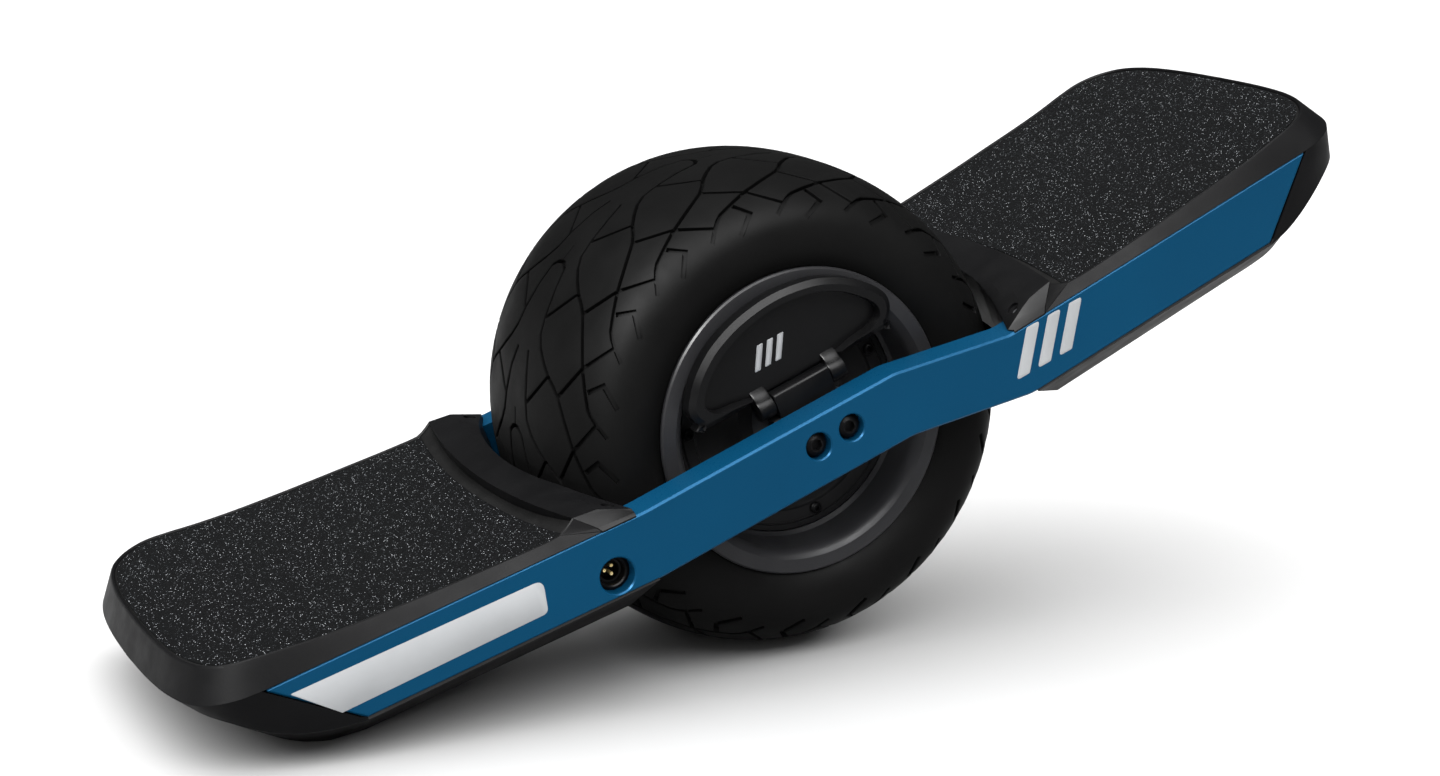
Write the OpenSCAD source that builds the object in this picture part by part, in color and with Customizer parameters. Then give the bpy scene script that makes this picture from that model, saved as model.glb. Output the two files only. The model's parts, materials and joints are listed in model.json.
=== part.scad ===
// One-wheel self-balancing board: a wide hub-motor tyre between two angled side rails,
// a footpad at each end and a carry handle folded against the wheel. Units: mm.
// Board axes: X along the board (nose -X, tail +X), Y across it, Z up, origin on the axle.
// place() then pitches the board until nose and tyre both stand on z = 0.

/* [Wheel] */
// outer radius of the tyre
tyre_r = 146; // [130:1:160]
// half of the tyre's widest section
tyre_half = 87.5; // [70:0.5:95]
// radius of the rim's outer lip
lip_r = 91; // [80:0.5:100]
// half of the rim's width over the lips
lip_half = 85; // [75:0.5:92]
// radius of the circle the cover screws sit on
screw_ring = 63.5; // [50:0.5:70]
// screws on each motor cover
screw_n = 7; // [5:1:9]

/* [Rails] */
// half of the board's width over the rails
half_w = 122; // [100:1:140]
// thickness of a rail
rail_t = 20.3; // [12:0.1:30]
// bevel along the rail's outer edges
rail_bevel = 0.9; // [0.3:0.1:2]
// half of the distance between the two axle bolts
bolt_half = 11.3; // [9:0.1:16]
// radius of the bolt recess
bolt_recess = 8; // [6:0.1:11]

/* [Ends] */
// length from the axle to the nose crease
nose_len = 392.5; // [360:0.5:420]
// length from the axle to the tail crease
tail_len = 394; // [360:0.5:420]
// half of the footpad's width at its top edge
pad_half = 116.5; // [100:0.5:120]
// thickness of the grip sheet
grip_t = 1.2; // [0.6:0.1:2]
// half of the flat belly's width
belly_half = 84; // [60:1:100]

/* [Carry handle] */
// height of the hinge line over the axle
hinge_z = 24; // [22:0.5:28]
// distance of the hinge line from the middle plane
hinge_y = 92; // [90:0.5:94]
// thickness of the handle
handle_t = 11; // [8:0.5:12]

/* [Ports] */
// X of the charge inlet on the near rail
port_x = -148.6; // [-160:0.1:-140]
// Z of the charge inlet on the near rail
port_z = -7.9; // [-10:0.1:0]
// radius of the charge inlet's recess
port_r = 10.5; // [8:0.1:12]

/* [Quality] */
// facets of a full circle
quality = 96; // [48:8:160]

/* [Hidden] */
$fn = quality;
eps = 0.02;
inner_y = half_w - rail_t;
// line of the belly that stands on the floor, in board axes
foot_x = 323;
foot_z = 26.4;
rest_tilt = asin(tyre_r / norm([foot_x, foot_z])) - atan2(foot_z, foot_x);
ct = cos(rest_tilt);
st = sin(rest_tilt);
// rail outlines, clockwise from the nose's upper corner
rail_top = [[-348, 36], [-121, 18], [47, 16.5], [123.5, 1.6], [349.5, 11]];
rail_low = [[308, -31.3], [126, -39], [46, -24], [-125, -22.5], [-305, -7.4]];
rail_outline = concat(rail_top, rail_low);
// height of the rail's top line over the front and over the rear section
function top_f(x) = 18 + (-121 - x) * 18 / 227;
function top_r(x) = 1.6 + (x - 123.5) * 9.4 / 226;
function low_f(x) = -22.5 + (-125 - x) * 15.1 / 180;
function low_r(x) = -39 + (x - 126) * 7.7 / 182;
// footpad stations: distance from the axle, height of the top edge over the rail
pad_f = [[152, 11.5], [190, 7.5], [225, 8], [262, 9], [308, 12], [345, 17], [380, 17.5]];
pad_r = [[154, 12.5], [190, 8], [225, 8.5], [262, 9.5], [308, 12], [345, 16.5], [382, 17]];
// arcs of the wheel well: the edge by the tyre, the seam behind the trim, the grip's edge
well_r = 278;
well_f = -150;
well_b = 151;
seam_r = 567;
seam_f = -170;
seam_b = 174;
grip_f = -178;
grip_b = 182;
// widest outline of each end, then the top, lower and belly outlines, as [x, y, z]
crease_f = [[392.5, 0], [391.5, 45], [388.5, 75], [383, 97], [372, 113], [360, 119.5], [348, 122]];
ring_f_top = [[380, 0], [379, 45], [375.5, 75], [369, 95], [359, 108], [345, 116.5]];
ring_f_low = [[384, 0, 26], [383, 45, 26], [380, 75, 25.5], [375, 96, 24.5], [366, 110, 19],
              [352, 118, 9.5], [330, 121, -1.5], [305, 122, -9]];
belly_f = [[303, 84, -31.3], [323, 84, -26.4], [336.9, 80, -20.75], [356, 66, -8], [366, 30, 1]];
crease_r = [[394, 0], [393, 45], [390, 75], [385, 97], [375, 112], [362, 119.5], [349, 122]];
ring_r_top = [[383, 0], [382, 45], [379, 75], [372, 95], [362, 108], [347, 116.5]];
ring_r_low = [[388, 0, -6], [387, 45, -6], [385, 75, -7], [381, 95, -9], [373, 109, -8],
              [357, 118, -14], [336, 121, -24.5], [308, 122, -33]];
belly_r = [[300, 84, -57.5], [325, 84, -56], [342, 82, -51], [357, 76, -41.5], [374, 55, -29]];
// shift that puts the origin under the middle of the whole board
x_lo = -nose_len * ct - top_f(-nose_len) * st;
x_hi = ring_r_low[0][0] * ct - ring_r_low[0][2] * st;
shift_x = -(x_lo + x_hi) / 2;

blue = [0.09, 0.26, 0.38];
black = [0.1, 0.1, 0.105];
steel = [0.6, 0.61, 0.63];
silver = [0.8, 0.81, 0.82];

module place() {
    translate([shift_x, 0, tyre_r])
        rotate([0, -rest_tilt, 0])
            children();
}

module both_sides() {
    for (s = [0, 1])
        mirror([0, s, 0])
            children();
}

// a plate with the outline pts in X and Z, from y0 to y1
module slab(pts, y0, y1) {
    translate([0, y1, 0])
        rotate([90, 0, 0])
            linear_extrude(height = y1 - y0)
                polygon(pts);
}

// a round bar along Y, from y0 to y1
module bar_y(r, y0, y1) {
    translate([0, y1, 0])
        rotate([90, 0, 0])
            cylinder(r = r, h = y1 - y0);
}

// a body of revolution about the axle from points given as [radius, y]
module turned(pts) {
    rotate([-90, 0, 0])
        rotate_extrude()
            polygon(pts);
}

module port_at(y) {
    translate([port_x, y, port_z])
        children();
}

// ---------------------------------------------------------------- rails
// the outline moved inwards by w, each corner along the line that halves its angle
function side_n(a, b) = [b[1] - a[1], a[0] - b[0]] / norm(b - a);
function inset(pts, w) = [for (i = [0 : len(pts) - 1])
    let (n = len(pts),
         n1 = side_n(pts[(i + n - 1) % n], pts[i]),
         n2 = side_n(pts[i], pts[(i + 1) % n]))
    pts[i] + w * (n1 + n2) / (1 + n1 * n2)];

// steps that round off the outer edge of a plate, from its face at y0 inwards
module bevelled(pts, y0, t) {
    steps = 3;
    for (i = [0 : steps - 1])
        slab(inset(pts, t * (steps - i) / steps), y0 + t * i / steps, y0 + t + 2);
}

module rail_blank() {
    difference() {
        union() {
            slab(rail_outline, -half_w + rail_bevel, -inner_y);
            bevelled(rail_outline, -half_w, rail_bevel);
        }
        for (s = [-1, 1]) {
            translate([s * bolt_half, 0, 0])
                bar_y(bolt_recess, -half_w - 1, -half_w + 9);
            translate([s * bolt_half, 0, 0])
                bar_y(5.05, -half_w, -inner_y + 1);
        }
        // long pockets milled in the inner face
        slab([[-290, 22], [-185, 13], [-185, -8], [-290, 1]], -inner_y - 12, -inner_y + 1);
        slab([[165, -5], [290, 0], [290, -24], [165, -30]], -inner_y - 12, -inner_y + 1);
    }
}

stripe_pts = [[-337.9, 27.2], [-188, 12.6], [-186, 10], [-190, -3.5], [-193.5, -6], [-314.2, 3.4]];
// plain slanted bars: lower left corner, width, height and how far the top leans
emblem_x = [118, 133.5, 149];
emblem_bar = [9.5, 26.5, 17];
emblem_low = -26;
badge_x = [-20, -13, -6];
badge_bar = [4, 14, 7];
badge_low = 45;
function slanted(x, z, bar) = [[x, z], [x + bar[0], z], [x + bar[0] + bar[2], z + bar[1]],
                               [x + bar[2], z + bar[1]]];

module emblem_bars(y0, y1) {
    for (x = emblem_x)
        slab(slanted(x, emblem_low, emblem_bar), y0, y1);
}

// depth of the recess that a decal lies in, and the step left over it
decal_deep = 0.3;
decal_step = 0.05;

module rail_left() {
    color(blue)
        place()
            difference() {
                rail_blank();
                port_at(0)
                    bar_y(port_r, -half_w - 1, -inner_y + 1);
                slab(stripe_pts, -half_w - 1, -half_w + decal_deep);
                emblem_bars(-half_w - 1, -half_w + decal_deep);
            }
}

module rail_right() {
    color(blue)
        place()
            difference() {
                mirror([0, 1, 0])
                    rail_blank();
                port_at(0)
                    bar_y(7.3, inner_y - 1, half_w + 1);
            }
}

module rail_stripe() {
    color(silver)
        place()
            slab(stripe_pts, -half_w + decal_step, -half_w + decal_deep);
}

module rail_emblem() {
    color(silver)
        place()
            emblem_bars(-half_w + decal_step, -half_w + decal_deep);
}

// ---------------------------------------------------------------- ends
// points of one outline, both sides, at the height a rail-line function plus dz gives
module dots(pts) {
    for (p = pts)
        for (s = [-1, 1])
            translate([p[0], s * p[1], p[2]])
                cube(eps, center = true);
}

function lift_f(pts, dz) = [for (p = pts) [-p[0], p[1], top_f(-p[0]) + dz]];
function lift_r(pts, dz) = [for (p = pts) [p[0], p[1], top_r(p[0]) + dz]];
function flip(pts) = [for (p = pts) [-p[0], p[1], p[2]]];

module well(x0, r, s, z0, z1) {
    translate([x0 - s * r, 0, z0])
        cylinder(r = r, h = z1 - z0, $fn = 240);
}

// outline of the nose and tail caps over the rails
module nose_shell() {
    hull() {
        dots(lift_f(crease_f, 0));
        dots(lift_f(ring_f_top, 15));
        dots(lift_f([[306, 116.8]], 9));
        dots(lift_f([[306, 122]], 0));
        dots(flip(ring_f_low));
        dots(flip(belly_f));
    }
    hull() {
        dots(flip([belly_f[0]]));
        dots([[-306, 122, low_f(-306)], [-127, 122, low_f(-127)], [-133, 84, -46], [-136, 84, -46.5]]);
    }
}

module tail_shell() {
    hull() {
        dots(lift_r(crease_r, 0));
        dots(lift_r(ring_r_top, 15));
        dots(lift_r([[309, 116.8]], 9));
        dots(lift_r([[309, 122]], 0));
        dots(ring_r_low);
        dots(belly_r);
    }
    hull() {
        dots([belly_r[0]]);
        dots([[309, 122, low_r(309)], [129, 122, low_r(129)], [143, 84, -63.5], [150, 84, -64.5]]);
    }
}

module rails_room(grow) {
    both_sides()
        slab(rail_outline, -half_w - 5, -inner_y + grow);
}

module front_bumper() {
    color(black)
        place()
            difference() {
                nose_shell();
                rails_room(0.1);
                // hollow between the rails, deeper over the flat belly
                slab([[-345, 60], [-345, 10], [-300, -12], [-172, -23], [-110, -21.8], [-110, 60]],
                     -inner_y + 0.2, inner_y - 0.2);
                slab([[-345, 60], [-345, 3], [-328, -15], [-300, -27], [-172, -38.5], [-110, -42.5],
                      [-110, 60]], -belly_half - 1, belly_half + 1);
                well(well_f + 3, well_r, -1, -80, 60);
                slab([[-306, 60], [-306, 0], [-100, 0], [-100, 60]], -130, 130);
                intersection() {
                    slab(pad_under_f(), -130, 130);
                    plan_f(0.2);
                }
                bumper_holes_f();
            }
}

module rear_bumper() {
    color(black)
        place()
            difference() {
                tail_shell();
                rails_room(0.1);
                slab([[352, 40], [352, -22], [300, -37], [176, -42], [110, -38], [110, 40]],
                     -inner_y + 0.2, inner_y - 0.2);
                slab([[352, 40], [352, -34], [335, -45], [300, -52.5], [176, -57.5], [110, -60.5],
                      [110, 40]], -belly_half - 1, belly_half + 1);
                well(well_b - 3, well_r, 1, -90, 60);
                slab([[309, 60], [309, -10], [100, -10], [100, 60]], -130, 130);
                intersection() {
                    slab(pad_under_r(), -130, 130);
                    plan_r(0.2);
                }
                bumper_holes_r();
            }
}

function pad_line_f(dz) = [for (p = pad_f) [-p[0], top_f(-p[0]) + p[1] + dz]];
function pad_line_r(dz) = [for (p = pad_r) [p[0], top_r(p[0]) + p[1] + dz]];
// room under the grip for the footpad inside the caps
function pad_under_f() = [[-385, top_f(-385)], [-300, top_f(-300)], [-300, 90], [-385, 90]];
function pad_under_r() = [[388, top_r(388)], [300, top_r(300)], [300, 90], [388, 90]];

module bumper_holes_f() {
    for (x = [-190, -245, -300])
        for (s = [-1, 1])
            translate([x, s * 72, -60])
                cylinder(r = 2.1, h = 60);
}

module bumper_holes_r() {
    for (x = [195, 250, 305])
        for (s = [-1, 1])
            translate([x, s * 72, -80])
                cylinder(r = 2.1, h = 60);
}

module bumper_screws() {
    color(steel)
        place() {
            for (x = [-190, -245, -300])
                for (s = [-1, 1])
                    translate([x, s * 72, low_f(x) - 21])
                        cylinder(r = 2, h = 5);
            for (x = [195, 250, 305])
                for (s = [-1, 1])
                    translate([x, s * 72, low_r(x) - 21.5])
                        cylinder(r = 2, h = 5);
        }
}

// a footpad: sloping sides over the rails, a dished top that kicks up at the end
module pad_f_body() {
    for (i = [0 : 5]) {
        a = pad_f[i];
        b = pad_f[i + 1];
        hull()
            for (p = [a, b]) {
                dots([[-p[0], half_w - 0.3, top_f(-p[0]) + 0.15]]);
                dots([[-p[0], pad_half, top_f(-p[0]) + p[1] - grip_t - eps]]);
            }
    }
}

module pad_r_body() {
    for (i = [0 : 5]) {
        a = pad_r[i];
        b = pad_r[i + 1];
        hull()
            for (p = [a, b]) {
                dots([[p[0], half_w - 0.3, top_r(p[0]) + 0.15]]);
                dots([[p[0], pad_half, top_r(p[0]) + p[1] - grip_t - eps]]);
            }
    }
}

module plan_f(inset) {
    n = len(ring_f_top) - 1;
    far = [for (i = [n : -1 : 1]) [-ring_f_top[i][0] + inset, ring_f_top[i][1] - inset]];
    near = [for (p = ring_f_top) [-p[0] + inset, p[1] > 0 ? inset - p[1] : 0]];
    translate([0, 0, -20])
        linear_extrude(height = 120)
            polygon(concat([[-100, half_w + 5]], [[-345, half_w + 5]], far, near,
                           [[-345, -half_w - 5]], [[-100, -half_w - 5]]));
}

module plan_r(inset) {
    n = len(ring_r_top) - 1;
    far = [for (i = [n : -1 : 1]) [ring_r_top[i][0] - inset, ring_r_top[i][1] - inset]];
    near = [for (p = ring_r_top) [p[0] - inset, p[1] > 0 ? inset - p[1] : 0]];
    translate([0, 0, -20])
        linear_extrude(height = 120)
            polygon(concat([[100, half_w + 5]], [[347, half_w + 5]], far, near,
                           [[347, -half_w - 5]], [[100, -half_w - 5]]));
}

// the corner cut that carries the seam from the trim's top edge to the rail's outer edge
module seam_corner(x0, x1, z0, z1) {
    both_sides()
        translate([0, 0, z0])
            linear_extrude(height = z1 - z0)
                polygon([[x0, 116], [x1, half_w + 0.5], [x1, half_w + 3], [x0, half_w + 3]]);
}

module front_footpad() {
    color(black)
        place()
            difference() {
                intersection() {
                    pad_f_body();
                    plan_f(0.4);
                }
                well(seam_f, seam_r, -1, -30, 80);
            }
}

module rear_footpad() {
    color(black)
        place()
            difference() {
                intersection() {
                    pad_r_body();
                    plan_r(0.4);
                }
                well(seam_b, seam_r, 1, -30, 80);
            }
}

// the grip sheet follows the dished top and stops short of the edges
module grip_sheet(line_hi, line_lo) {
    n = len(line_hi) - 1;
    slab(concat(line_hi, [for (i = [n : -1 : 0]) line_lo[i]]), -pad_half + 1, pad_half - 1);
}

module front_grip() {
    color([0.12, 0.12, 0.13])
        place()
            difference() {
                intersection() {
                    grip_sheet(pad_line_f(0), pad_line_f(-grip_t));
                    plan_f(2.5);
                }
                well(grip_f, seam_r, -1, -30, 80);
            }
}

module rear_grip() {
    color([0.12, 0.12, 0.13])
        place()
            difference() {
                intersection() {
                    grip_sheet(pad_line_r(0), pad_line_r(-grip_t));
                    plan_r(2.5);
                }
                well(grip_b, seam_r, 1, -30, 80);
            }
}

// pressure sensor film pressed into the front footpad's underside
module foot_sensor() {
    color([0.75, 0.5, 0.2])
        place()
            slab([[-200, top_f(-200) - 0.4], [-290, top_f(-290) - 0.4], [-290, top_f(-290)],
                  [-200, top_f(-200)]], -96, 96);
}

// horseshoe trim round the wheel well: flat top, grey bevels down to the rail's outer edge
module front_trim() {
    color(black)
        place()
            difference() {
                union() {
                    hull() {
                        dots([[-178, 116, 33.6], [-158, 116, 33], [-143, 116, 30.8], [-125.5, 114.5, 22.6]]);
                        dots([[-178, 122, 23.2], [-147.4, 122, 20.6], [-126.2, 121.8, 18.8],
                              [-122.5, 118, 18.4], [-122, 101.7, 18.2]]);
                    }
                    slab([[-178, 25], [-122, 19], [-122, -21.2], [-178, -21.2]],
                         -inner_y + 0.4, inner_y - 0.4);
                    slab([[-178, 0], [-122, 0], [-122, -37], [-178, -37]], -belly_half, belly_half);
                }
                well(well_f, well_r, -1, -80, 60);
                difference() {
                    translate([-300, -150, -60])
                        cube([178, 300, 120]);
                    well(seam_f + 0.3, seam_r, -1, -60, 60);
                }
                seam_corner(-158, -147.2, -30, 60);
                port_at(0)
                    bar_y(12, -inner_y - 1, -86);
                port_at(0)
                    bar_y(9, 84, inner_y + 1);
                trim_holes(-1);
            }
}

module rear_trim() {
    color(black)
        place()
            difference() {
                union() {
                    hull() {
                        dots([[184, 116, 17.6], [162, 116, 16.4], [145, 116, 13.2], [129.2, 114.5, 5.2]]);
                        dots([[184, 122, 4.2], [149.5, 122, 2.9], [130.4, 121.8, 2.1],
                              [126.5, 118, 2], [126, 101.7, 1.9]]);
                    }
                    slab([[184, 6], [126, 2.2], [126, -37.5], [184, -41]],
                         -inner_y + 0.4, inner_y - 0.4);
                    slab([[184, -20], [126, -20], [126, -34], [141, -56.5], [184, -56.5]],
                         -belly_half, belly_half);
                }
                well(well_b, well_r, 1, -90, 60);
                difference() {
                    translate([124, -150, -80])
                        cube([178, 300, 140]);
                    well(seam_b - 0.3, seam_r, 1, -80, 60);
                }
                seam_corner(162, 149.3, -60, 60);
                trim_holes(1);
                lead(lead_r + 0.1);
            }
}

// one screw hole near each tip of a trim, square to its sloping top
module trim_hole_at(s) {
    for (y = [-1, 1])
        if (s < 0)
            translate([-134.5, y * 108, 26])
                rotate([0, 25, 0])
                    children();
        else
            translate([137.5, y * 108, 9])
                rotate([0, -25, 0])
                    children();
}

module trim_holes(s) {
    trim_hole_at(s) {
        translate([0, 0, -6])
            cylinder(r = 2.2, h = 14, $fn = 32);
        translate([0, 0, -1.5])
            cylinder(r = 4, h = 10, $fn = 32);
    }
}

module trim_screws() {
    color(steel)
        place() {
            for (s = [-1, 1])
                trim_hole_at(s)
                    translate([0, 0, -6])
                        cylinder(r = 2.15, h = 3, $fn = 32);
        }
}

// ---------------------------------------------------------------- electronics
module controller_box() {
    color([0.3, 0.31, 0.33])
        place()
            difference() {
                slab([[-338, 24], [-338, -2], [-298, -19], [-180, -29.5], [-180, 20]], -84, 84);
                slab([[-335, 26], [-335, 0], [-297, -16], [-183, -26.5], [-183, 22]], -81, 81);
            }
}

module controller_lid() {
    color([0.3, 0.31, 0.33])
        place()
            slab([[-338, 24.2], [-338, 27.2], [-180, 22.2], [-180, 20.2]], -84, 84);
}

module controller_board() {
    color([0.1, 0.35, 0.2])
        place() {
            slab([[-328, 2], [-328, 4], [-188, -9], [-188, -11]], -78, 78);
            for (i = [0 : 5])
                translate([-305 + i * 20, 0, 2 - i * 1.86])
                    translate([0, -60 + (i % 2) * 50, 0])
                        cube([12, 44, 9]);
            for (i = [0 : 2])
                translate([-300 + i * 34, 62, -1 - i * 3])
                    cylinder(r = 8, h = 18);
        }
}

module battery_box() {
    color([0.3, 0.31, 0.33])
        place()
            difference() {
                slab([[342, 2], [342, -34], [300, -46], [180, -51], [180, -2]], -84, 84);
                slab([[339, 4], [339, -31.5], [299, -43], [183, -48], [183, 0]], -81, 81);
                translate([176, 60, -25])
                    rotate([0, 90, 0])
                        cylinder(r = 5, h = 10);
            }
}

module battery_lid() {
    color([0.3, 0.31, 0.33])
        place()
            slab([[342, 2.2], [342, 5.2], [180, 1.2], [180, -1.8]], -84, 84);
}

module battery_cells() {
    color([0.2, 0.4, 0.65])
        place()
            for (i = [0 : 5])
                for (k = [0, 1])
                    for (s = [-1, 1])
                        translate([196 + i * 19, s * 36, -37.5 + k * 19 + i * 0.75])
                            rotate([90, 0, 0])
                                cylinder(r = 9.2, h = 65, center = true, $fn = 40);
}

// motor lead in its sheath, along the far rail's inner face to the rear trim
lead_r = 4.5;
module lead(r) {
    translate([22.8, 93, -5])
        rotate([0, 98, 0])
            cylinder(r = r, h = 120);
}

module motor_cable() {
    color([0.08, 0.08, 0.08])
        place()
            lead(lead_r);
}

// ---------------------------------------------------------------- ports
module charge_port() {
    color(black)
        place()
            port_at(0)
                difference() {
                    bar_y(port_r - 0.05, -half_w + 8, -92);
                    bar_y(7, -half_w + 7, -half_w + 12);
                    bar_y(5.6, -half_w + 7, -half_w + 19);
                    bar_y(1, -half_w + 12, -96);
                }
}

module charge_pins() {
    color([0.85, 0.7, 0.35])
        place()
            port_at(0)
                for (a = [80, 200, 320])
                    rotate([0, a, 0])
                        translate([2.8, 0, 0])
                            bar_y(0.8, -half_w + 12.6, -half_w + 19);
}

module power_button() {
    color([0.5, 0.51, 0.53])
        place()
            port_at(0)
                bar_y(7, half_w - 9, half_w - 0.6);
}

module button_housing() {
    color(black)
        place()
            port_at(0)
                difference() {
                    bar_y(7.25, 92, half_w - 6);
                    bar_y(7.05, half_w - 14, half_w);
                }
}

// ---------------------------------------------------------------- axle and motor
module axle() {
    color(steel)
        place()
            difference() {
                union() {
                    bar_y(14, -90, 90);
                    both_sides()
                        translate([-22, -inner_y + 0.1, -15])
                            cube([44, 12, 30]);
                }
                for (s = [-1, 1])
                    both_sides()
                        translate([s * bolt_half, 0, 0])
                            bar_y(5, -inner_y - 1, -90.5);
            }
}

module axle_bolts() {
    color([0.16, 0.16, 0.17])
        place()
            for (s = [-1, 1])
                both_sides()
                    translate([s * bolt_half, 0, 0])
                        difference() {
                            union() {
                                bar_y(7.4, -half_w + 2.5, -half_w + 9);
                                bar_y(5, -half_w + 8, -91);
                            }
                            translate([0, -half_w + 6, 0])
                                rotate([90, 0, 0])
                                    cylinder(r = 3.5, h = 6, $fn = 6);
                        }
}

module stator() {
    color([0.45, 0.45, 0.47])
        place()
            difference() {
                union() {
                    difference() {
                        bar_y(57.3, -28, 28);
                        bar_y(44, -29, 29);
                    }
                    difference() {
                        bar_y(30, -28, 28);
                        bar_y(14.02, -29, 29);
                    }
                    for (i = [0 : 11])
                        rotate([0, i * 30, 0])
                            translate([28, -26, -3.5])
                                cube([18, 52, 7]);
                }
                for (i = [0 : 35])
                    rotate([0, i * 10, 0])
                        translate([50, -30, -1])
                            cube([9, 60, 2]);
            }
}

module windings() {
    color([0.72, 0.4, 0.2])
        place()
            both_sides()
                turned([[45, -42], [55, -42], [56, -38], [56, -28.2], [45, -28.2]]);
}

module bearings() {
    color(steel)
        place()
            both_sides()
                turned([[14.02, -66], [26, -66], [26, -53], [14.02, -53]]);
}

module rim_blank() {
    half = [[60.5, -54], [72, -54], [72, -60.5], [74, -62], [76.5, -78], [79.5, -lip_half + 1],
            [82, -lip_half], [lip_r - 2, -lip_half], [lip_r, -lip_half + 1.5], [lip_r, -82.3],
            [86, -79], [84, -75], [84, -56], [79, -50], [70.5, -42]];
    turned(concat(half, [for (i = [len(half) - 1 : -1 : 0]) [half[i][0], -half[i][1]]]));
}

module rim() {
    color([0.25, 0.255, 0.26])
        place()
            difference() {
                rim_blank();
                rotate([0, 119.4, 0])
                    translate([78, 68, 0])
                        rotate([0, 90, 0])
                            cylinder(r = 3.85, h = 12, center = true);
            }
}

module rotor_magnets() {
    color([0.55, 0.55, 0.58])
        place()
            difference() {
                bar_y(60.45, -26, 26);
                bar_y(58, -27, 27);
                for (i = [0 : 17])
                    rotate([0, i * 20, 0])
                        translate([56, -30, -0.6])
                            cube([6, 60, 1.2]);
            }
}

module cover_blank() {
    difference() {
        turned([[26.05, -50], [60.3, -50], [60.3, -54.1], [71.9, -54.1], [71.9, -60], [57, -60],
                [55.5, -59], [42, -62], [36, -68], [26.05, -68]]);
        for (i = [0 : screw_n - 1])
            rotate([0, -163.5 + i * 360 / screw_n, 0])
                translate([screw_ring, 0, 0])
                    bar_y(2.05, -61, -53);
    }
}

module motor_cover_left() {
    color([0.2, 0.2, 0.21])
        place()
            cover_blank();
}

module motor_cover_right() {
    color([0.2, 0.2, 0.21])
        place()
            mirror([0, 1, 0])
                cover_blank();
}

module cover_screws() {
    color([0.14, 0.14, 0.15])
        place()
            both_sides()
                for (i = [0 : screw_n - 1])
                    rotate([0, -163.5 + i * 360 / screw_n, 0])
                        translate([screw_ring, 0, 0])
                            difference() {
                                union() {
                                    bar_y(3.6, -63, -60);
                                    bar_y(2, -61, -54);
                                }
                                translate([0, -61.5, 0])
                                    rotate([90, 0, 0])
                                        cylinder(r = 1.7, h = 3, $fn = 6);
                            }
}

module valve_stem() {
    color([0.12, 0.12, 0.12])
        place()
            rotate([0, 119.4, 0])
                translate([0, 68, 0])
                    rotate([0, 90, 0])
                            translate([0, 0, 60])
                            cylinder(r = 3.8, h = 24);
}

// tyre section: lip, bulging wall, round crown; hollow inside
function se(a, p) = sign(a) * pow(abs(a), 2 / p);
function tyre_out() = [for (i = [-12 : 12])
    [109 + (tyre_r - 109) * pow(cos(i * 7.5), 2 / 2.4), tyre_half * se(sin(i * 7.5), 2.4)]];
function tyre_in() = [for (i = [10 : -1 : -10])
    [106 + (tyre_r - 10 - 106) * pow(cos(i * 9), 2 / 2.4), (tyre_half - 8) * se(sin(i * 9), 2.4)]];

module tyre() {
    color([0.07, 0.07, 0.07])
        place()
            turned(concat([[lip_r + 0.2, -82], [99, -86.3]], tyre_out(), [[99, 86.3], [lip_r + 0.2, 82],
                          [86.2, 79], [84.1, 75], [84.1, 58]], tyre_in(), [[84.1, -58], [84.1, -75],
                          [86.2, -79]]));
}

// ---------------------------------------------------------------- carry handle
handle_out = [[-56, 31], [-63, 36], [-65.5, 44], [-62, 53], [-54, 63], [-40, 73], [-20, 81], [5, 84],
              [30, 80.5], [48, 72], [61, 62], [69, 51], [69.5, 43], [65, 36], [56, 32]];
handle_web = [[-50, 37], [-55, 41], [-56, 47], [-47, 58], [-33, 68], [-15, 74], [5, 76.5], [27, 73.5],
              [43, 66], [55, 56], [61, 48], [60, 41], [54, 38]];

module knuckle(x0, x1, r) {
    translate([x0, -hinge_y, hinge_z])
        rotate([0, 90, 0])
            cylinder(r = r, h = x1 - x0);
}

module handle() {
    color([0.13, 0.13, 0.135])
        place()
            difference() {
                union() {
                    slab(handle_out, -hinge_y - handle_t / 2, -hinge_y + handle_t / 2);
                    for (k = [[-28, -18], [20.5, 30.5]]) {
                        knuckle(k[0], k[1], 6.8);
                        translate([k[0], -hinge_y - 5.5, hinge_z])
                            cube([k[1] - k[0], 11, 10]);
                    }
                }
                slab(handle_web, -hinge_y - handle_t, -hinge_y + 1.5);
                knuckle(-60, 60, 2.55);
                slab([[-18, 20], [-18, 33], [20.5, 33], [20.5, 20]], -110, -80);
            }
}

module handle_badge() {
    color(silver)
        place()
            for (x = badge_x)
                slab(slanted(x, badge_low, badge_bar), -hinge_y + 1, -hinge_y + 1.5);
}

module handle_pin() {
    color(steel)
        place()
            knuckle(-27.5, 30, 2.5);
}

module handle_bracket() {
    color([0.13, 0.13, 0.135])
        place()
            difference() {
                union() {
                    knuckle(-17.6, 20.1, 6.8);
                    translate([-17.6, -hinge_y - 4.5, 15])
                        cube([37.7, 9, 9]);
                }
                knuckle(-30, 30, 2.52);
            }
}

rail_left();
rail_right();
rail_stripe();
rail_emblem();
front_bumper();
rear_bumper();
bumper_screws();
front_footpad();
rear_footpad();
front_grip();
rear_grip();
foot_sensor();
front_trim();
rear_trim();
trim_screws();
controller_box();
controller_lid();
controller_board();
battery_box();
battery_lid();
battery_cells();
motor_cable();
charge_port();
charge_pins();
power_button();
button_housing();
axle();
axle_bolts();
stator();
windings();
bearings();
rim();
rotor_magnets();
motor_cover_left();
motor_cover_right();
cover_screws();
valve_stem();
tyre();
handle();
handle_badge();
handle_pin();
handle_bracket();
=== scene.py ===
"""Looks of the one-wheel self-balancing board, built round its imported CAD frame.

Every piece is modelled in the board's own axes in millimetres (origin on the axle, X towards the
tail, Z up) and then placed with PLACE, which pitches the board onto its nose as the frame does.
"""

import json
import math

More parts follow.
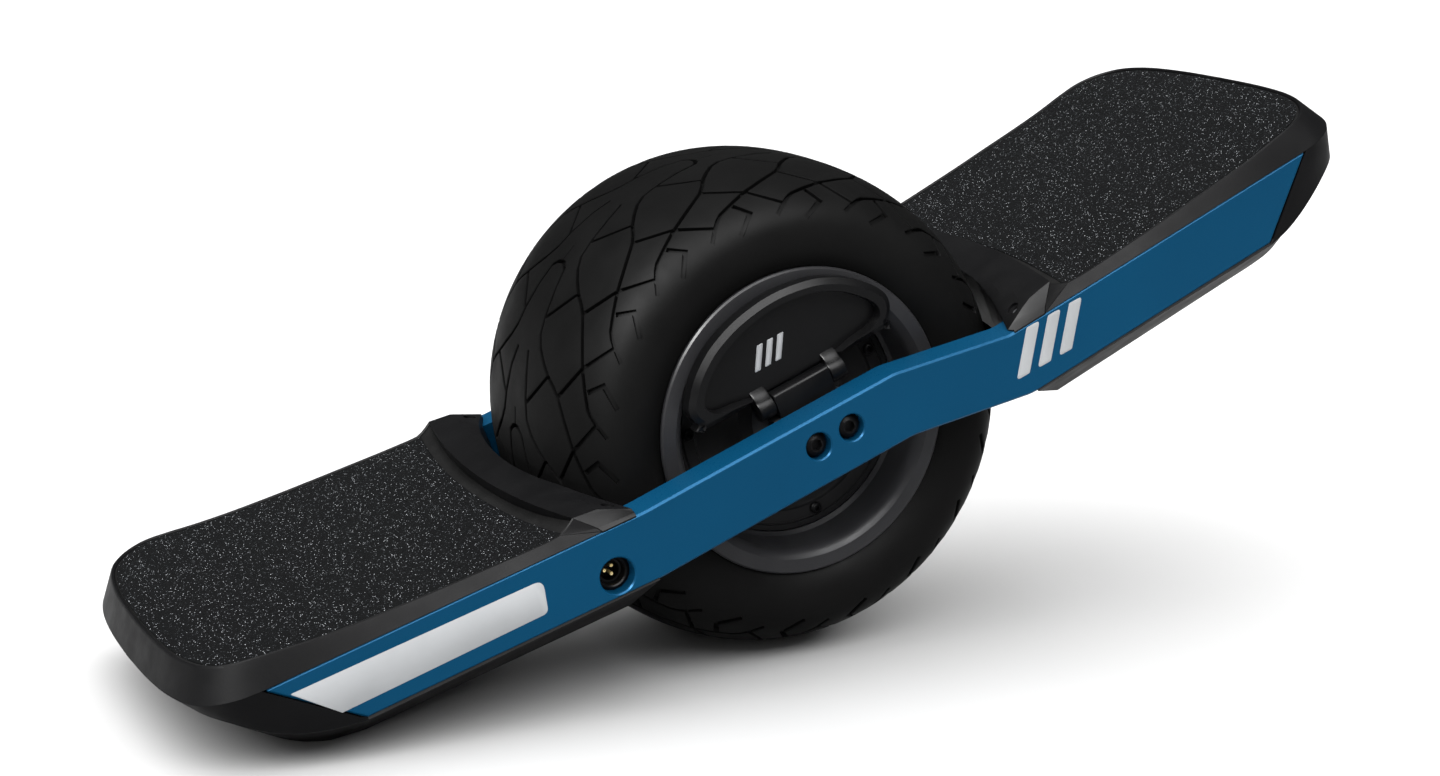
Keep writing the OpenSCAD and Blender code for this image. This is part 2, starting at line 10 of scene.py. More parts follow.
import bmesh
import bpy
import numpy as np
from mathutils import Matrix, Vector
from mathutils.geometry import delaunay_2d_cdt


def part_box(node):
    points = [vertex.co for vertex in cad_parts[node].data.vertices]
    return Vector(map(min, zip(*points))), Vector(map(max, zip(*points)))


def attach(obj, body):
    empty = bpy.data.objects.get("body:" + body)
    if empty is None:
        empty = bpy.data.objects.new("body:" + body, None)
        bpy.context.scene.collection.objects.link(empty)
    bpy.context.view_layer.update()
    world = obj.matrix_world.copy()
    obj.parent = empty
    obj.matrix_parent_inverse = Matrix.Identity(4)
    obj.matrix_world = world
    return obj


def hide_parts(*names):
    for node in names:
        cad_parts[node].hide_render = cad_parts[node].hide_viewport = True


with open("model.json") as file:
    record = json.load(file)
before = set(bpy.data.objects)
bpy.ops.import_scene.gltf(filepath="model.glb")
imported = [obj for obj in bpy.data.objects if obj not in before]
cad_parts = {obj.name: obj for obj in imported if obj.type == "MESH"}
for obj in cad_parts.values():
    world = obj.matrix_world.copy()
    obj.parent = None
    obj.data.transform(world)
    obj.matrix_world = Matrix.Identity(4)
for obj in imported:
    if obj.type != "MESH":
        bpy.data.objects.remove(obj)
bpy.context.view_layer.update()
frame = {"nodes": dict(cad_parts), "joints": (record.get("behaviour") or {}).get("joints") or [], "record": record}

# ---------------------------------------------------------------- placement
MM = 0.001
lo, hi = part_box("rim")
AXLE = (lo + hi) / 2
HINGE = next(j for j in frame["joints"] if j["name"] == "handle_fold")
TILT = math.atan2(HINGE["axis"][2], HINGE["axis"][0])
PLACE = Matrix.Translation(AXLE) @ Matrix.Rotation(-TILT, 4, "Y") @ Matrix.Scale(MM, 4)
WORLD_FROM_BOARD = np.array(PLACE)

# driving sizes, board axes, mm
TYRE_R, TYRE_HALF, WIDE_R = 146.0, 87.5, 109.0
SQUARE = 2.4
LIP_R, LIP_HALF = 91.0, 85.0
HALF_W, RAIL_T = 122.0, 20.3
INNER_Y = HALF_W - RAIL_T
RAIL_TOP = [(-348, 36), (-121, 18), (47, 16.5), (123.5, 1.6), (349.5, 11)]
RAIL_LOW = [(308, -31.3), (126, -39), (46, -24), (-125, -22.5), (-305, -7.4)]
WELL_R, SEAM_R = 278.0, 567.0
SCREW_RING, SCREW_N, SCREW_PHASE = 63.5, 7, 163.5
HINGE_Y, HINGE_Z = 92.0, 24.0
PORT = (-148.6, -7.9)
PORT_R, BUTTON_R = 10.5, 7.3
BOLT_HALF, BOLT_RECESS = 11.3, 8.0


def top_f(x):
    return 18 + (-121 - x) * 18 / 227


def top_r(x):
    return 1.6 + (x - 123.5) * 9.4 / 226


# ---------------------------------------------------------------- materials
def srgb(code):
    """A hex colour as the linear values that shaders use."""
    parts = (int(code[i:i + 2], 16) / 255 for i in (1, 3, 5))
    return tuple(c / 12.92 if c <= 0.04045 else ((c + 0.055) / 1.055) ** 2.4 for c in parts) + (1.0,)


class Shader:
    """A Principled material with a few procedural helpers."""

    def __init__(self, name, metallic=0.0, roughness=0.5, specular=0.5):
        self.mat = bpy.data.materials.new(name)
        self.mat.use_nodes = True
        self.tree = self.mat.node_tree
        self.bsdf = self.tree.nodes["Principled BSDF"]
        self.bsdf.inputs["Metallic"].default_value = metallic
        self.bsdf.inputs["Roughness"].default_value = roughness
        self.bsdf.inputs["Specular IOR Level"].default_value = specular
        self.coord = self.tree.nodes.new("ShaderNodeTexCoord").outputs["Object"]

    def node(self, kind, **settings):
        n = self.tree.nodes.new(kind)
        for key, value in settings.items():
            if key in n.inputs:
                n.inputs[key].default_value = value
            else:
                setattr(n, key, value)
        return n

    def link(self, a, b):
        self.tree.links.new(a, b)

    def noise(self, scale, detail):
        n = self.node("ShaderNodeTexNoise", Scale=scale, Detail=detail, Roughness=0.55)
        self.link(self.coord, n.inputs["Vector"])
        return n.outputs["Fac"]

    def cells(self, scale, output="Distance"):
        n = self.node("ShaderNodeTexVoronoi", Scale=scale)
        self.link(self.coord, n.inputs["Vector"])
        return n.outputs[output]

    def ramp(self, fac, stops):
        r = self.node("ShaderNodeValToRGB")
        band = r.color_ramp
        while len(band.elements) < len(stops):
            band.elements.new(0.5)
        for element, (pos, colour) in zip(band.elements, stops):
            element.position = pos
            element.color = colour
        self.link(fac, r.inputs["Fac"])
        return r.outputs["Color"]

    def spread(self, fac, low, high, start=0.3, end=0.7):
        m = self.node("ShaderNodeMapRange")
        m.inputs["From Min"].default_value = start
        m.inputs["From Max"].default_value = end
        m.inputs["To Min"].default_value = low
        m.inputs["To Max"].default_value = high
        self.link(fac, m.inputs["Value"])
        return m.outputs["Result"]

    def bump(self, height, strength, distance, before=None):
        b = self.node("ShaderNodeBump", Strength=strength, Distance=distance)
        self.link(height, b.inputs["Height"])
        if before is not None:
            self.link(before, b.inputs["Normal"])
        self.link(b.outputs["Normal"], self.bsdf.inputs["Normal"])
        return b.outputs["Normal"]

    def colour(self, fac, stops):
        self.link(self.ramp(fac, stops), self.bsdf.inputs["Base Color"])

    def rough(self, fac, low, high):
        self.link(self.spread(fac, low, high), self.bsdf.inputs["Roughness"])


def plastic(name, dark, light, roughness, spec=0.4, grain=900.0, strength=0.35):
    """Moulded plastic or painted metal, clouded between two shades, with a fine grain."""
    s = Shader(name, roughness=roughness, specular=spec)
    s.colour(s.noise(18, 4), [(0.35, srgb(dark)), (0.65, srgb(light))])
    s.rough(s.noise(60, 3), roughness - 0.05, roughness + 0.07)
    s.bump(s.noise(grain, 2), strength, 0.00012)
    return s.mat


def metal(name, dark, light, roughness):
    s = Shader(name, metallic=1.0, roughness=roughness)
    s.colour(s.noise(25, 3), [(0.35, srgb(dark)), (0.65, srgb(light))])
    s.rough(s.noise(210, 3), roughness - 0.06, roughness + 0.08)
    s.bump(s.noise(700, 2), 0.15, 0.00006)
    return s.mat


def rail_paint():
    """Deep blue satin coat over metal: faint flake and fine orange peel."""
    s = Shader("rail_blue", metallic=0.13, roughness=0.28, specular=0.04)
    s.colour(s.noise(9, 3), [(0.3, (0.002, 0.047, 0.107, 1)), (0.7, (0.002, 0.052, 0.117, 1))])
    s.rough(s.noise(1500, 2), 0.26, 0.36)
    s.bump(s.noise(1100, 2), 0.08, 0.00005)
    return s.mat


def grip_material():
    """Black grit sheet: dark binder with sparse pale mineral grains that catch the light."""
    s = Shader("grip", roughness=0.85, specular=0.03)
    per_metre = 1250.0
    split = s.node("ShaderNodeSeparateColor")
    s.link(s.cells(per_metre, output="Color"), split.inputs["Color"])
    pale = s.spread(split.outputs["Red"], 0.0, 1.0, 0.66, 0.98)
    near = s.spread(s.cells(per_metre), 1.0, 0.0, 0.2, 0.6)
    both = s.node("ShaderNodeMath", operation="MULTIPLY")
    s.link(pale, both.inputs[0])
    s.link(near, both.inputs[1])
    s.colour(both.outputs["Value"], [(0.0, srgb("#08090a")), (0.4, srgb("#141617")),
                                     (0.75, srgb("#54575b")), (1.0, srgb("#d0d3d6"))])
    s.link(s.spread(split.outputs["Green"], 0.55, 0.95, 0.0, 0.6), s.bsdf.inputs["Roughness"])
    s.bump(s.cells(1100.0), 0.7, 0.0004)
    return s.mat


def tyre_material():
    s = Shader("tyre_rubber", roughness=0.5, specular=0.03)
    s.colour(s.noise(14, 5), [(0.3, srgb("#0b0b0b")), (0.7, srgb("#101010"))])
    s.rough(s.noise(40, 5), 0.44, 0.6)
    fine = s.bump(s.noise(1400, 2), 0.12, 0.00008)
    s.bump(s.noise(90, 4), 0.15, 0.0006, before=fine)
    return s.mat


# darker and lighter shade, roughness, then specular level, grain and its depth where they matter
PLASTICS = {
    "decal": ("#a2a4a6", "#abadaf", 0.34, 0.1, 1600, 0.05),
    "bumper_plastic": ("#0e0e0f", "#121213", 0.46, 0.04),
    # the belly's plastic: the bumper plastic a little darker and less glossy, painted shade on the underside
    "belly_shade_plastic": ("#0c0c0d", "#101011", 0.5, 0.035),
    # the deck's plastic: the bumper plastic made darker, painted shade along the ledge between trim and grip
    "ledge_shade_plastic": ("#070707", "#0a0a0a", 0.6, 0.1),
    "trim_plastic": ("#0b0b0c", "#0f0f10", 0.42, 0.07, 1100, 0.2),
    "sensor_film": ("#8c5a20", "#a06a2a", 0.4),
    "black_steel": ("#0a0a0b", "#0f0f11", 0.4, 0.06),
    "rim_aluminium": ("#28282a", "#2e2e30", 0.36, 0.1),
    "cover_aluminium": ("#19191a", "#1f1f20", 0.42, 0.06),
    "circuit": ("#0d4a2c", "#115535", 0.4),
    "cell_can": ("#1f4f96", "#2559a5", 0.3),
    "cable_rubber": ("#151515", "#1b1b1b", 0.6),
    "port_plastic": ("#080809", "#0c0c0d", 0.34, 0.06),
    "handle_plastic": ("#0b0b0c", "#0f0f10", 0.34, 0.07, 1200, 0.12),
}
METALS = {
    "screw_steel": ("#7c7d80", "#8e8f92", 0.35),
    "axle_steel": ("#3c3d40", "#47484b", 0.4),
    "stator_steel": ("#6c6d70", "#77787b", 0.45),
    "box_aluminium": ("#6f7174", "#7b7d80", 0.5),
    "contact_brass": ("#f0d48c", "#fbe6ae", 0.45),
    "button_metal": ("#8b8c8f", "#9b9c9f", 0.3),
    "copper": ("#a8602c", "#b96c34", 0.35),
    "valve_brass": ("#7d6a3c", "#8d7846", 0.4),
}
MATS = {"rail_blue": rail_paint(), "grip": grip_material(), "tyre_rubber": tyre_material()}
MATS.update({name: plastic(name, *look) for name, look in PLASTICS.items()})
MATS.update({name: metal(name, *look) for name, look in METALS.items()})


# ---------------------------------------------------------------- mesh helpers
def make(name, verts, faces, slot, body, hides=(), look=None, crease=32.0, normals=None):
    """A piece from board-axis points: placed, smoothed up to the crease angle and set on its body."""
    me = bpy.data.meshes.new(name)
    pts = np.asarray(verts, float)
    pts = pts @ WORLD_FROM_BOARD[:3, :3].T + WORLD_FROM_BOARD[:3, 3]
    me.from_pydata([tuple(p) for p in pts], [], [tuple(int(i) for i in f) for f in faces])
    me.validate()
    me.update()
    ob = bpy.data.objects.new(name, me)
    bpy.context.scene.collection.objects.link(ob)
    for p in me.polygons:
        p.use_smooth = True
    me.set_sharp_from_angle(angle=math.radians(crease))
    if normals is not None:
        turn = WORLD_FROM_BOARD[:3, :3] / MM
        n = np.asarray(normals, float) @ turn.T
        me.normals_split_custom_set_from_vertices([tuple(v) for v in n])
    me.materials.append(MATS[look or slot])
    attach(ob, body)
    if hides:
        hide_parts(*hides)
    return ob


def tidy(ob, gap=1e-5, flip=True):
    """Merge doubles and point the faces outwards."""
    bm = bmesh.new()
    bm.from_mesh(ob.data)
    bmesh.ops.remove_doubles(bm, verts=bm.verts, dist=gap)
    if flip:
        bmesh.ops.recalc_face_normals(bm, faces=bm.faces)
    bm.to_mesh(ob.data)
    bm.free()
    return ob


def creased(ob, degrees):
    """Tidy a piece and mark its edges sharper than this as creases."""
    tidy(ob)
    ob.data.set_sharp_from_angle(angle=math.radians(degrees))


def apply(ob):
    """Bake the modifiers of ob into its mesh."""
    deps = bpy.context.evaluated_depsgraph_get()
    me = bpy.data.meshes.new_from_object(ob.evaluated_get(deps))
    ob.modifiers.clear()
    ob.data = me
    return ob


def carve(ob, cutters):
    """Cut closed helper meshes out of ob, then drop them."""
    for c in cutters:
        m = ob.modifiers.new("cut", "BOOLEAN")
        m.operation = "DIFFERENCE"
        m.solver = "EXACT"
        m.object = c
    bpy.context.view_layer.update()
    apply(ob)
    for c in cutters:
        bpy.data.objects.remove(c)
    return ob


def helper(verts, faces):
    """A closed mesh in board axes used only as a cutter."""
    me = bpy.data.meshes.new("cutter")
    pts = np.asarray(verts, float) @ WORLD_FROM_BOARD[:3, :3].T + WORLD_FROM_BOARD[:3, 3]
    me.from_pydata([tuple(p) for p in pts], [], faces)
    ob = bpy.data.objects.new("cutter", me)
    bpy.context.scene.collection.objects.link(ob)
    return tidy(ob)


def shell(ob, thick):
    """Give a sheet this thickness in mm, on its inner side."""
    m = ob.modifiers.new("shell", "SOLIDIFY")
    m.thickness = thick * MM
    m.offset = -1
    return apply(ob)


def grid_faces(rows, cols, wrap=False, start=0):
    """Faces of a sheet of points, row by row; wrap joins the last row to the first."""
    out = []
    for i in range(rows if wrap else rows - 1):
        for j in range(cols - 1):
            a = i * cols + j
            b = ((i + 1) % rows) * cols + j
            out.append((start + a, start + a + 1, start + b + 1, start + b))
    return out


def tube_faces(rows, cols):
    """Faces between closed rings that follow each other, rows of them with cols points each."""
    return [(i * cols + j, i * cols + (j + 1) % cols, (i + 1) * cols + (j + 1) % cols, (i + 1) * cols + j)
            for i in range(rows - 1) for j in range(cols)]


def prism(rings):
    """Points and faces of a solid through closed rings, with flat ends."""
    n, m = len(rings), len(rings[0])
    ends = [tuple(range(m)), tuple(range((n - 1) * m, n * m))]
    return [tuple(p) for ring in rings for p in ring], tube_faces(n, m) + ends


def lathe(profile, segments):
    """Points and faces of a ring about Y with this closed outline of (radius, y) points."""
    prof = np.asarray(profile, float)
    prof = np.vstack([prof, prof[:1]])
    verts = []
    for a in np.arange(segments) * 2 * math.pi / segments:
        for r, y in prof:
            verts.append((r * math.cos(a), y, r * math.sin(a)))
    return verts, grid_faces(segments, len(prof), wrap=True)


def rounded(points, radius, steps=5):
    """A closed outline with each corner replaced by an arc-like quadratic of about that radius."""
    pts = [np.array(p, float) for p in points]
    radii = radius if isinstance(radius, (list, tuple)) else [radius] * len(pts)
    out = []
    for i, p in enumerate(pts):
        a, b = pts[i - 1], pts[(i + 1) % len(pts)]
        u, v = (a - p), (b - p)
        lu, lv = np.linalg.norm(u), np.linalg.norm(v)
        u, v = u / lu, v / lv
        half = math.acos(max(-1, min(1, float(u @ v)))) / 2
        reach = min(radii[i] / max(math.tan(half), 1e-3), 0.45 * lu, 0.45 * lv)
        s, e = p + u * reach, p + v * reach
        for k in range(steps + 1):
            t = k / steps
            out.append(tuple((1 - t) ** 2 * s + 2 * t * (1 - t) * p + t * t * e))
    return out


def inset(outline, w):
    """The closed outline moved inwards by w, for either winding."""
    p = np.asarray(outline, float)
    area = 0.5 * np.sum(p[:, 0] * np.roll(p[:, 1], -1) - np.roll(p[:, 0], -1) * p[:, 1])
    sign = 1.0 if area > 0 else -1.0
    d = np.roll(p, -1, 0) - p
    d /= np.maximum(np.linalg.norm(d, axis=1), 1e-9)[:, None]
    n = np.stack([-d[:, 1], d[:, 0]], 1) * sign
    m = np.roll(n, 1, 0)
    k = 1 + (m * n).sum(1)
    return p + w * (m + n) / np.maximum(k, 0.2)[:, None]


def turned_left(ring):
    """The ring of points, anticlockwise."""
    p = np.asarray(ring, float)
    area = np.sum(p[:, 0] * np.roll(p[:, 1], -1) - np.roll(p[:, 0], -1) * p[:, 1])
    return p if area > 0 else p[::-1]


def circle(cx, cz, r, n=40):
    t = np.arange(n) * 2 * math.pi / n
    return np.stack([cx + r * np.cos(t), cz + r * np.sin(t)], 1)


def fill(outline, holes):
    """Triangles of an outline less its holes: (points, triangles)."""
    rings = [turned_left(outline)] + [turned_left(h) for h in holes]
    pts, faces = [], []
    for ring in rings:
        faces.append(list(range(len(pts), len(pts) + len(ring))))
        pts.extend(ring)
    got = delaunay_2d_cdt([Vector(p) for p in pts], [], faces, 0, 1e-6)
    keep = [f for f, origin in zip(got[2], got[5]) if 0 in origin and len(origin) == 1]
    return np.array([tuple(v) for v in got[0]]), keep


def plate(outline, holes, y0, y1, bevel=0.0, hole_bevel=0.0, slope=None):
    """A slab in X and Z with bevels on the y0 face, and round or other holes through it.

    slope gives how far each corner of the outline moves in over the bevel, if not as far as it is deep.
    """
    verts, faces = [], []

    def ring(points, y):
        verts.extend((p[0], y, p[1]) for p in points)
        return range(len(verts) - len(points), len(verts))

    def bridge(a, b):
        for i in range(len(a)):
            j = (i + 1) % len(a)
            faces.append((a[i], a[j], b[j], b[i]))

    def wall(face, edge, depth):
        last = ring(face, y0)
        if depth:
            shoulder = ring(edge, y0 + step * depth)
            bridge(last, shoulder)
            last = shoulder
        bridge(last, ring(edge, y1))

    step = 1.0 if y1 > y0 else -1.0
    reach = bevel if slope is None else slope[:, None]
    face_out = inset(outline, reach) if bevel else np.asarray(outline, float)
    face_holes = [inset(h, -hole_bevel) if hole_bevel else np.asarray(h, float) for h in holes]
    for y, out, inner in ((y0, face_out, face_holes), (y1, np.asarray(outline, float), holes)):
        pts, tris = fill(out, inner)
        at = ring(pts, y)
        faces.extend(tuple(at[i] for i in f) for f in tris)
    wall(face_out, outline, bevel)
    for hole, face_hole in zip(holes, face_holes):
        wall(face_hole, hole, hole_bevel)
    return verts, faces


def joined(*parts):
    """Several (points, faces) as one."""
    verts, faces = [], []
    for v, f in parts:
        s = len(verts)
        verts.extend(tuple(p) for p in v)
        faces.extend(tuple(s + i for i in face) for face in f)
    return verts, faces


def curve_through(points, per=8):
    """Catmull-Rom through the rows of points, any width."""
    p = np.asarray(points, float)
    p = np.vstack([2 * p[0] - p[1], p, 2 * p[-1] - p[-2]])
    out = []
    for i in range(1, len(p) - 2):
        for k in range(per):
            t = k / per
            a, b, c, d = p[i - 1], p[i], p[i + 1], p[i + 2]
            out.append(0.5 * (2 * b + (c - a) * t + (2 * a - 5 * b + 4 * c - d) * t * t
                              + (3 * b - a - 3 * c + d) * t ** 3))
    out.append(p[-2])
    return np.array(out)


# ---------------------------------------------------------------- tyre
def section_table():
    """Outer half section of the tyre as radius and y against arc length from the crown."""
    th = np.linspace(0, math.pi / 2, 2001)
    y = TYRE_HALF * np.sin(th) ** (2 / SQUARE)
    r = WIDE_R + (TYRE_R - WIDE_R) * np.cos(th) ** (2 / SQUARE)
    y[0], r[0], y[-1], r[-1] = 0, TYRE_R, TYRE_HALF, WIDE_R
    t = np.linspace(0, 1, 200)[1:]
    low_y = TYRE_HALF - 5.6 * t ** 2
    low_r = WIDE_R - (WIDE_R - LIP_R - 0.4) * t
    y, r = np.concatenate([y, low_y]), np.concatenate([r, low_r])
    s = np.concatenate([[0], np.cumsum(np.hypot(np.diff(y), np.diff(r)))])
    return s, r, y


SEC_S, SEC_R, SEC_Y = section_table()
TREAD_END = 104.0
PITCH = 20.0
SPAN = 2 * PITCH
MM_PER_DEGREE = 2.4


def on_section(s):
    """Radius, y and outward normal of the tyre's surface at an arc length from the crown."""
    m = np.abs(s)
    r = np.interp(m, SEC_S, SEC_R)
    y = np.interp(m, SEC_S, SEC_Y)
    ahead, behind = m + 0.4, np.maximum(m - 0.4, 0)
    dr = np.interp(ahead, SEC_S, SEC_R) - np.interp(behind, SEC_S, SEC_R)
    dy = np.interp(ahead, SEC_S, SEC_Y) - np.interp(behind, SEC_S, SEC_Y)
    length = np.hypot(dr, dy)
    nr, ny = dy / length, -dr / length
    return r, y * np.sign(s), nr, ny * np.sign(s)


def tyre_points(angle, s, depth):
    """Points and normals for an angle in degrees, an arc length across and a depth under the tread."""
    r, y, nr, ny = on_section(s)
    r, y = r - depth * nr, y - depth * ny
    a = np.radians(angle)
    pts = np.stack([r * np.cos(a), y, r * np.sin(a)], 1)
    nrm = np.stack([nr * np.cos(a), ny, nr * np.sin(a)], 1)
    return pts, nrm


# the net of grooves over one pitch: (degrees, mm from the middle) along each groove's middle line
GROOVE_TAIL = [(6.2, 11.4), (13.0, 15.0), (17.2, 17.2), (20.2, 22.6), (23.0, 30.6), (25.2, 37.6),
               (27.2, 45.6), (29.0, 50.6), (34.0, 58.4), (40.4, 66.0), (45.5, 71.6), (49.6, 75.6),
               (51.2, 78.2), (53.0, 82.0), (56.0, 88.6)]
GROOVE_CLOSED = [(0.0, 0.0), (0.3, 4.0), (1.6, 8.6)] + GROOVE_TAIL
GROOVE_OPEN = [(1.8, 7.8)] + GROOVE_TAIL
SHORT_LINK = [(25.3, 37.4), (33.0, 16.4)]
LONG_LINK = [(28.9, 50.4), (21.0, 65.2), (13.4, 81.4)]
HOOK = [(5.5, 73.8), (2.8, 82.6), (8.0, 93.0)]
NICK = [(-4.4, 0.0), (0.0, 0.0)]


def groove_shapes():
    """Every groove that touches one double pitch, as (middle line, half width)."""
    out = []
    for side in (1, -1):
        for cell in range(-4, 5):
            shift = cell * PITCH
            body = GROOVE_CLOSED if cell % 2 == 0 else GROOVE_OPEN
            for line, half in ((body, 1.25), (SHORT_LINK, 1.15), (LONG_LINK, 1.25), (HOOK, 1.45)):
                out.append(([(a + shift, s * side) for a, s in line], half))
    for cell in range(-4, 5, 2):
        out.append(([(a + cell * PITCH, s) for a, s in NICK], 0.6))
    return out


def widened(line, half):
    """The outline of a groove of this half width, measured in mm on the tread."""
    p = np.array(line, float)
    k = np.radians(1.0) * on_section(p[:, 1])[0]
    q = np.stack([p[:, 0] * k.mean(), p[:, 1]], 1)
    d = np.diff(q, axis=0)
    d /= np.linalg.norm(d, axis=1)[:, None]
    n = np.stack([-d[:, 1], d[:, 0]], 1)
    m = np.vstack([n[:1], n[:-1] + n[1:], n[-1:]])
    m /= np.concatenate([[1], 1 + (n[:-1] * n[1:]).sum(1), [1]])[:, None]
    q[0] -= d[0] * half * 0.3
    q[-1] += d[-1] * half * 0.3
    ring = np.vstack([q + half * m, (q - half * m)[::-1]])
    ring[:, 0] /= k.mean()
    return ring


def tread():
    """One double pitch of tread: points, triangles of land and of groove floor, and unsunk points."""
    edge = 0.35
    pts, edges, faces, inner_ids = [], [], [], set()
    for grow in (edge, 0.0):
        for line, half in groove_shapes():
            ring = turned_left(widened(line, half + grow))
            if ring[:, 0].max() < -1 or ring[:, 0].min() > SPAN + 1:
                continue
            if grow == 0.0:
                inner_ids.add(len(faces))
            faces.append(list(range(len(pts), len(pts) + len(ring))))
            pts.extend(map(tuple, ring))
    for a in np.arange(0, SPAN + 0.01, 2.5):
        for s in np.linspace(-TREAD_END, TREAD_END, 41):
            pts.append((float(a), float(s)))
    for a in (0.0, SPAN):
        pts.extend([(a, -TREAD_END), (a, TREAD_END)])
        edges.append((len(pts) - 2, len(pts) - 1))
    scaled = [Vector((a * MM_PER_DEGREE, s)) for a, s in pts]
    got = delaunay_2d_cdt(scaled, edges, faces, 0, 1e-4)
    co = np.array([(v[0] / MM_PER_DEGREE, v[1]) for v in got[0]])
    tris = [tuple(f) for f in got[2]]
    mid = np.array([co[list(t)].mean(0) for t in tris])
    use = (mid[:, 0] > 0) & (mid[:, 0] < SPAN) & (np.abs(mid[:, 1]) < TREAD_END)
    is_floor = np.array([any(i in inner_ids for i in o) for o in got[5]])
    is_groove = np.array([len(o) > 0 for o in got[5]])
    land = [t for t, u, f in zip(tris, use, is_floor) if u and not f]
    floor = [t for t, u, f in zip(tris, use, is_floor) if u and f]
    flat = {i for t, g, u in zip(tris, is_groove, use) if not g and u for i in t}
    return co, land, floor, flat


def tyre():
    """Tread with its grooves cut in, then both lower walls, the beads and the inside."""
    co, land, floor, flat = tread()
    lip = 0.45
    sunk = np.array([0.0 if i in flat else lip for i in range(len(co))])
    depth_at = np.interp(np.abs(co[:, 1]), [0, 60, 85, 95], [3.6, 3.4, 2.6, 1.8])
    verts, norms, faces, index = [], [], [], {}

    def vertex(i, turn, layer):
        a = round((co[i, 0] + turn) % 360.0, 3) % 360.0
        key = (a, round(co[i, 1], 3), layer)
        if key not in index:
            d = sunk[i] if layer == 0 else depth_at[i]
            p, n = tyre_points(np.array([a]), co[i:i + 1, 1], d)
            index[key] = len(verts)
            verts.append(p[0])
            norms.append(n[0])
        return index[key]

    floor_edges = dict.fromkeys((t[k], t[(k + 1) % 3]) for t in floor for k in range(3))
    rim_edges = [e for e in floor_edges if (e[1], e[0]) not in floor_edges]
    for turn in np.arange(0, 360, SPAN):
        faces.extend(tuple(vertex(i, turn, 0) for i in reversed(t)) for t in land)
        faces.extend(tuple(vertex(i, turn, 1) for i in reversed(t)) for t in floor)
        for a, b in rim_edges:
            # a groove that runs on into the next span has no wall there
            if min(abs(co[a, 0]) + abs(co[b, 0]), abs(co[a, 0] - SPAN) + abs(co[b, 0] - SPAN)) < 1e-3:
                continue
            corners = [tyre_points(np.array([co[i, 0] + turn]), co[i:i + 1, 1], d)[0][0]
                       for i, d in ((a, sunk[a]), (b, sunk[b]), (b, depth_at[b]), (a, depth_at[a]))]
            normal = np.cross(corners[3] - corners[0], corners[1] - corners[0])
            normal /= max(np.linalg.norm(normal), 1e-9)
            s = len(verts)
            verts.extend(corners)
            norms.extend([normal] * 4)
            faces.append((s + 3, s + 2, s + 1, s))
    # lower walls from the tread's edge to the rim lip, then the bead and the inside
    steps = np.arange(0, 360, 2.5)
    wall_s = np.linspace(TREAD_END, SEC_S[-1], 9)
    bead = [(86.4, 79.2), (84.4, 75.0), (84.4, 58.0), (92.0, 60.0), (118.0, 70.0), (130.0, 50.0),
            (134.0, 0.0)]
    a = np.radians(steps)
    for side in (1, -1):
        start = len(verts)
        rows = [tyre_points(steps, np.full(len(steps), across * side), 0.0) for across in wall_s]
        for r, y in bead:
            p = np.stack([r * np.cos(a), np.full(len(a), y * side), r * np.sin(a)], 1)
            inward = np.stack([-np.cos(a), 0 * a, -np.sin(a)], 1)
            rows.append((p, inward))
        for p, n in rows:
            verts.extend(p)
            norms.extend(n)
        m = len(steps)
        for i in range(len(rows) - 1):
            for j in range(m):
                k = (j + 1) % m
                near, far = start + i * m, start + (i + 1) * m
                quad = (near + j, near + k, far + k, far + j)
                faces.append(quad if side < 0 else tuple(reversed(quad)))
    make("tyre", verts, faces, "tyre_rubber", "wheel", hides=["tyre"], crease=180, normals=norms)


tyre()

# ---------------------------------------------------------------- rim and covers
def rim():
    """Barrel with a dish on each side and a flat lip whose outer corner is chamfered."""
    half = [(60.5, -54), (72, -54), (72, -60.5), (74.2, -62.5), (76.2, -76.5)]
    half += [(77.0, -80.0), (78.6, -82.4), (80.4, -84.0), (82.2, -LIP_HALF), (89.8, -LIP_HALF)]
    half += [(90.8, -LIP_HALF + 1.0), (91.0, -82.6), (86, -79), (84, -75), (84, -56), (79, -48)]
    v, f = lathe(half + [(r, -y) for r, y in reversed(half)], 224)
    creased(make("rim", v, f, "rim_aluminium", "wheel", hides=["rim"]), 28)


rim()


def cover(side, tag):
    """Motor cover: flat ring with screws, a seam, shallow radial ribs and a snout round the bearing."""
    outer = [(26.05, -52), (60.0, -52), (60.0, -54.2), (71.8, -54.2), (71.8, -59.2), (71.2, -60), (68.4, -60),
             (68.0, -59.2), (67.2, -59.2), (66.8, -60), (60.0, -60), (59.2, -58.6), (57.8, -58.0),
             (50, -58.6), (44, -60.4), (39, -63.4), (36.4, -66.6), (35.2, -67.8), (33.8, -68.0), (26.05, -68)]
    parts = [lathe([(r, -side * y) for r, y in outer], 192)]
    for i in range(SCREW_N):
        a = math.radians(SCREW_PHASE + (i + 0.5) * 360 / SCREW_N)
        rib = []
        for r, w, top in ((41.5, 1.5, -63.0), (48.0, 1.3, -60.6), (57.0, 1.2, -59.4)):
            for u, y in ((-w, top + 2.4), (-w * 0.6, top - 0.5), (w * 0.6, top - 0.5), (w, top + 2.4)):
                x, z = r * math.cos(a) - u * math.sin(a), r * math.sin(a) + u * math.cos(a)
                rib.append((x, -side * y, z))
        parts.append((rib, grid_faces(3, 4) + [(0, 1, 2, 3), (8, 9, 10, 11)]))
    v, f = joined(*parts)
    name = f"motor_cover_{tag}"
    creased(make(name, v, f, "cover_aluminium", "wheel", hides=[name]), 26)


cover(-1, "left")
cover(1, "right")


